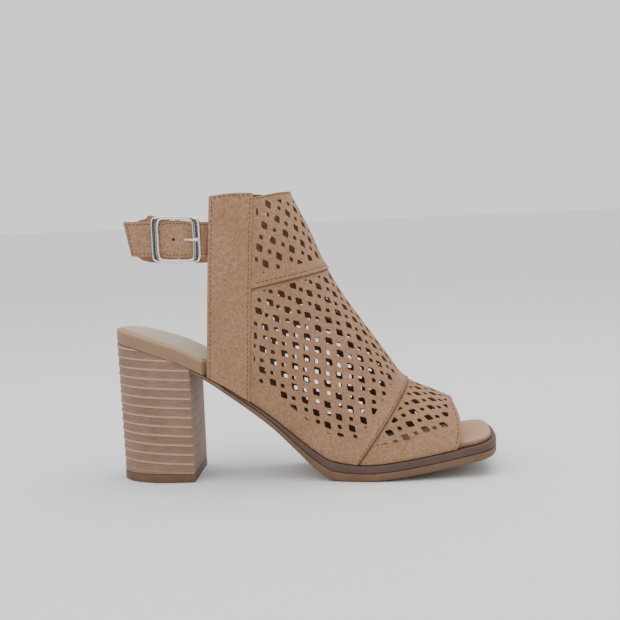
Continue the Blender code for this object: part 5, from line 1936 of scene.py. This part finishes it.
@dataclass
class Straps:
    """The punched buckle strap and the sling strap."""

    wardrobe: Wardrobe
    buckle: Buckle
    width: float = 20 * MM
    tuck: float = 13 * MM
    tip_x: float = -96.6 * MM
    tip_slant: float = -4.0 * MM
    hole_radius: float = 0.85 * MM
    hole_height: float = 4 * MM
    prong_hole: tuple = (-7.2 * MM, 2.6)
    spare_hole: tuple = (1.4 * MM, 1.0)
    sling_return: float = 16 * MM
    sling_crest: float = 4.4 * MM
    sling_drop: float = 5 * MM
    loop_steps: int = 12
    round_steps: int = 19

    def buckle_points(self) -> list[StrapPoint]:
        """The punched strap: out of the quarter, under, over and under the bars."""
        buckle = self.buckle
        inner_y = -(LAST.ankle_width / 2 - 1.5 * MM - LAST.gap - buckle.strap_thickness / 2)
        under, over = buckle.under_bars(), buckle.over_bar()
        half, tip = buckle.length / 2, buckle.x - self.tip_x
        spread = buckle.height - 2 * buckle.end_bar - 3 * LAST.gap - self.width
        points = []
        for back in (self.tuck, self.tuck / 2, -2 * LAST.gap):
            x = buckle.tuck_x() + back
            points.append(StrapPoint(x, inner_y, buckle.line_height(x), self.width))
        for back, level, swell in ((-0.9 * half, 0.0, 0.0), (-0.62 * half, 0.15, 0.15),
                                   (-0.3 * half, 0.85, 0.8), (0.0, 1.0, 1.0),
                                   (0.3 * half, 0.85, 0.8), (0.62 * half, 0.15, 0.15),
                                   (0.9 * half, 0.0, 0.0), (0.75 * tip, 0.0, 0.0),
                                   (tip, 0.0, 0.0)):
            x, y = buckle.plan_point(back, under + level * (over - under))
            slant = self.tip_slant if back == tip else 0.0
            points.append(StrapPoint(x, y, buckle.line_height(x), self.width + spread * swell,
                                     slant))
        return points

    def sling_points(self) -> list[StrapPoint]:
        """The sling: from its loop on the centre bar round the heel to the inner quarter."""
        buckle = self.buckle
        radius = buckle.bar_radius + LAST.gap + buckle.sling_thickness / 2
        near = buckle.sling_thickness / 2 + LAST.gap / 2
        plan = [buckle.plan_point(back, -near) for back in (self.sling_return,
                                                            0.5 * self.sling_return)]
        plan.append(buckle.plan_point(2.2 * radius, -near))
        for step in range(self.loop_steps + 1):
            turn = math.radians(-125 + 250 * step / self.loop_steps)
            plan.append(buckle.plan_point(-radius * math.cos(turn), radius * math.sin(turn)))
        for back in (2.2 * radius, 0.5 * self.sling_return, self.sling_return):
            plan.append(buckle.plan_point(back, near))
        looped = len(plan)
        half, tuck = buckle.sling_half(), buckle.tuck_x()
        for step in range(self.round_steps + 1):
            turn = math.radians(132 * step / self.round_steps - 42)
            power = 2 / buckle.sling_squareness
            reach = max(math.cos(turn), 0) ** power
            x = max(tuck + (buckle.sling_back - tuck) * reach, buckle.sling_back)
            y = half * math.copysign(abs(math.sin(turn)) ** power, turn)
            plan.append(np.array((x, y)))
        plan.append(np.array((tuck + self.tuck / 2, half)))
        plan.append(np.array((tuck + self.tuck, half)))
        points = []
        for number, (x, y) in enumerate(plan):
            if number < looped:
                crest = self.sling_crest * max(buckle.x - x, 0) / self.sling_return
                z = buckle.line_height(buckle.x) + crest
            else:
                share = (y + half) / (2 * half)
                z = buckle.strap_height + self.sling_crest * (1 - share) - self.sling_drop * share
            points.append(StrapPoint(x, y, z, self.width))
        return points

    def hole(self, back: float, long: float) -> bpy.types.Object:
        """A cutter for one punched hole, by its place and how many times it is longer than wide."""
        bm = bmesh.new()
        out = self.buckle.over_bar()
        start = self.buckle.place(back, out - self.hole_height, 0)
        end = self.buckle.place(back, out + self.hole_height, 0)
        Buckle.rod(bm, start, end, self.hole_radius)
        bmesh.ops.scale(bm, vec=(long, 1.0, 1.0), verts=bm.verts,
                        space=Matrix.Translation((start + end) / -2))
        return to_object("hole_cut", bm, [self.wardrobe[Finish.CUT_EDGE_AND_SHADE]])

    def build(self) -> None:
        """Make both straps with their stitches, and let them ride."""
        suede = [self.wardrobe[Finish.SUEDE]]
        threads = bmesh.new()
        row = StitchRow(length=1.7 * MM, pitch=2.2 * MM)
        punched = Strap(self.buckle_points(), self.buckle.strap_thickness)
        item = to_object("buckle_strap_suede", punched.mesh(), suede)
        for hole in (self.prong_hole, self.spare_hole):
            carve(item, self.hole(*hole))
        shade_by(item, "shade", unshaded)
        mount(item, "suede", "buckle_strap")
        for points, normals in (*punched.stitch_lines(0.18, 0.985), punched.tip_line()):
            row.sew(threads, points, normals)
        sling = Strap(self.sling_points(), self.buckle.sling_thickness, steps=260)
        item = to_object("sling_strap_suede", sling.mesh(), suede)
        shade_by(item, "shade", unshaded)
        mount(item, "suede", "sling_strap")
        for points, normals in sling.stitch_lines(0.30, 0.92):
            row.sew(threads, points, normals)
        stitches = to_object("strap_stitching", threads, [self.wardrobe[Finish.THREAD]])
        mount(stitches, "suede")


@dataclass
class Studio:
    """The camera, the soft lights, the floor and the pale background."""

    place: tuple = (43.6 * MM, -670 * MM, 150.3 * MM)
    yaw: float = math.radians(3.29)
    pitch: float = math.radians(4.64)
    roll: float = math.radians(-2.47)
    focus_pixels: float = 1138.0
    picture: float = 620.0
    sensor: float = 36.0
    flag_place: tuple = (-0.5, -0.9, 0.2)
    flag_size: float = 0.5
    backdrop: float = 1.15

    def camera(self) -> None:
        """Set the camera at the photograph's viewing angle."""
        ahead = Vector((-math.sin(self.yaw) * math.cos(self.pitch),
                        math.cos(self.yaw) * math.cos(self.pitch), -math.sin(self.pitch)))
        right = Vector((math.cos(self.yaw), math.sin(self.yaw), 0.0))
        up = right.cross(ahead)
        cosine, sine = math.cos(self.roll), math.sin(self.roll)
        right, up = cosine * right + sine * up, cosine * up - sine * right
        data = bpy.data.cameras.new("camera")
        data.sensor_width = self.sensor
        data.lens = self.focus_pixels / self.picture * self.sensor
        data.clip_start = 0.01
        item = bpy.data.objects.new("camera", data)
        item.matrix_world = Matrix.Translation(self.place) @ Matrix(
            (right, up, -ahead)).transposed().to_4x4()
        bpy.context.scene.collection.objects.link(item)
        bpy.context.scene.camera = item

    def lamp(self, name: str, place: tuple, target: tuple, size: float, power: float) -> None:
        """Add one soft area light."""
        data = bpy.data.lights.new(name, "AREA")
        data.size = size
        data.energy = power
        item = bpy.data.objects.new(name, data)
        item.location = place
        aim = Vector(target) - Vector(place)
        item.rotation_euler = aim.to_track_quat("-Z", "Y").to_euler()
        bpy.context.scene.collection.objects.link(item)

    def floor(self) -> None:
        """Lay a pale floor that takes a soft shadow."""
        bm = bmesh.new()
        bmesh.ops.create_grid(bm, x_segments=1, y_segments=1, size=40.0)
        bmesh.ops.translate(bm, vec=(0, 0, -0.05 * MM), verts=bm.verts)
        material, nodes, shader = open_material("studio_floor")
        nodes.feed(shader, {"Base Color": (0.86, 0.86, 0.865, 1.0), "Roughness": 0.9,
                            "Specular IOR Level": 0.05})
        to_object("studio_floor", bm, [material])

    def flag(self) -> None:
        """Stand a dark card beside the camera, which the metal mirrors."""
        bm = bmesh.new()
        stand = Matrix.Translation(self.flag_place) @ Matrix.Rotation(math.pi / 2, 4, "X")
        bmesh.ops.create_grid(bm, x_segments=1, y_segments=1, size=self.flag_size / 2,
                              matrix=stand)
        material, nodes, shader = open_material("studio_flag")
        nodes.feed(shader, {"Base Color": (0.02, 0.02, 0.02, 1.0)})
        to_object("studio_flag", bm, [material])

    def world(self) -> None:
        """Give the room its even pale light."""
        world = bpy.data.worlds.new("studio")
        world.use_nodes = True
        shader = world.node_tree.nodes["Background"]
        shader.inputs["Color"].default_value = (self.backdrop, self.backdrop, self.backdrop, 1.0)
        shader.inputs["Strength"].default_value = 1.0
        bpy.context.scene.world = world

    def build(self) -> None:
        """Set up the whole studio."""
        self.camera()
        self.floor()
        self.flag()
        self.world()
        self.lamp("key", (-0.5, -0.7, 1.0), (0, 0, 0.06), 0.7, 2.5)
        self.lamp("top", (0.25, 0.1, 1.1), (0, 0, 0.05), 0.8, 5.0)


def main() -> None:
    """Load the frame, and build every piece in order."""
    logging.basicConfig(level=logging.INFO, format="%(message)s")
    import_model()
    Studio().build()
    wardrobe = Wardrobe()
    Sole(wardrobe).build()
    Heel(wardrobe).build()
    Footbed(wardrobe).build()
    Upper(wardrobe).build()
    buckle = Buckle()
    Straps(wardrobe, buckle).build()
    buckle.build(wardrobe)


if __name__ == "__main__":
    main()
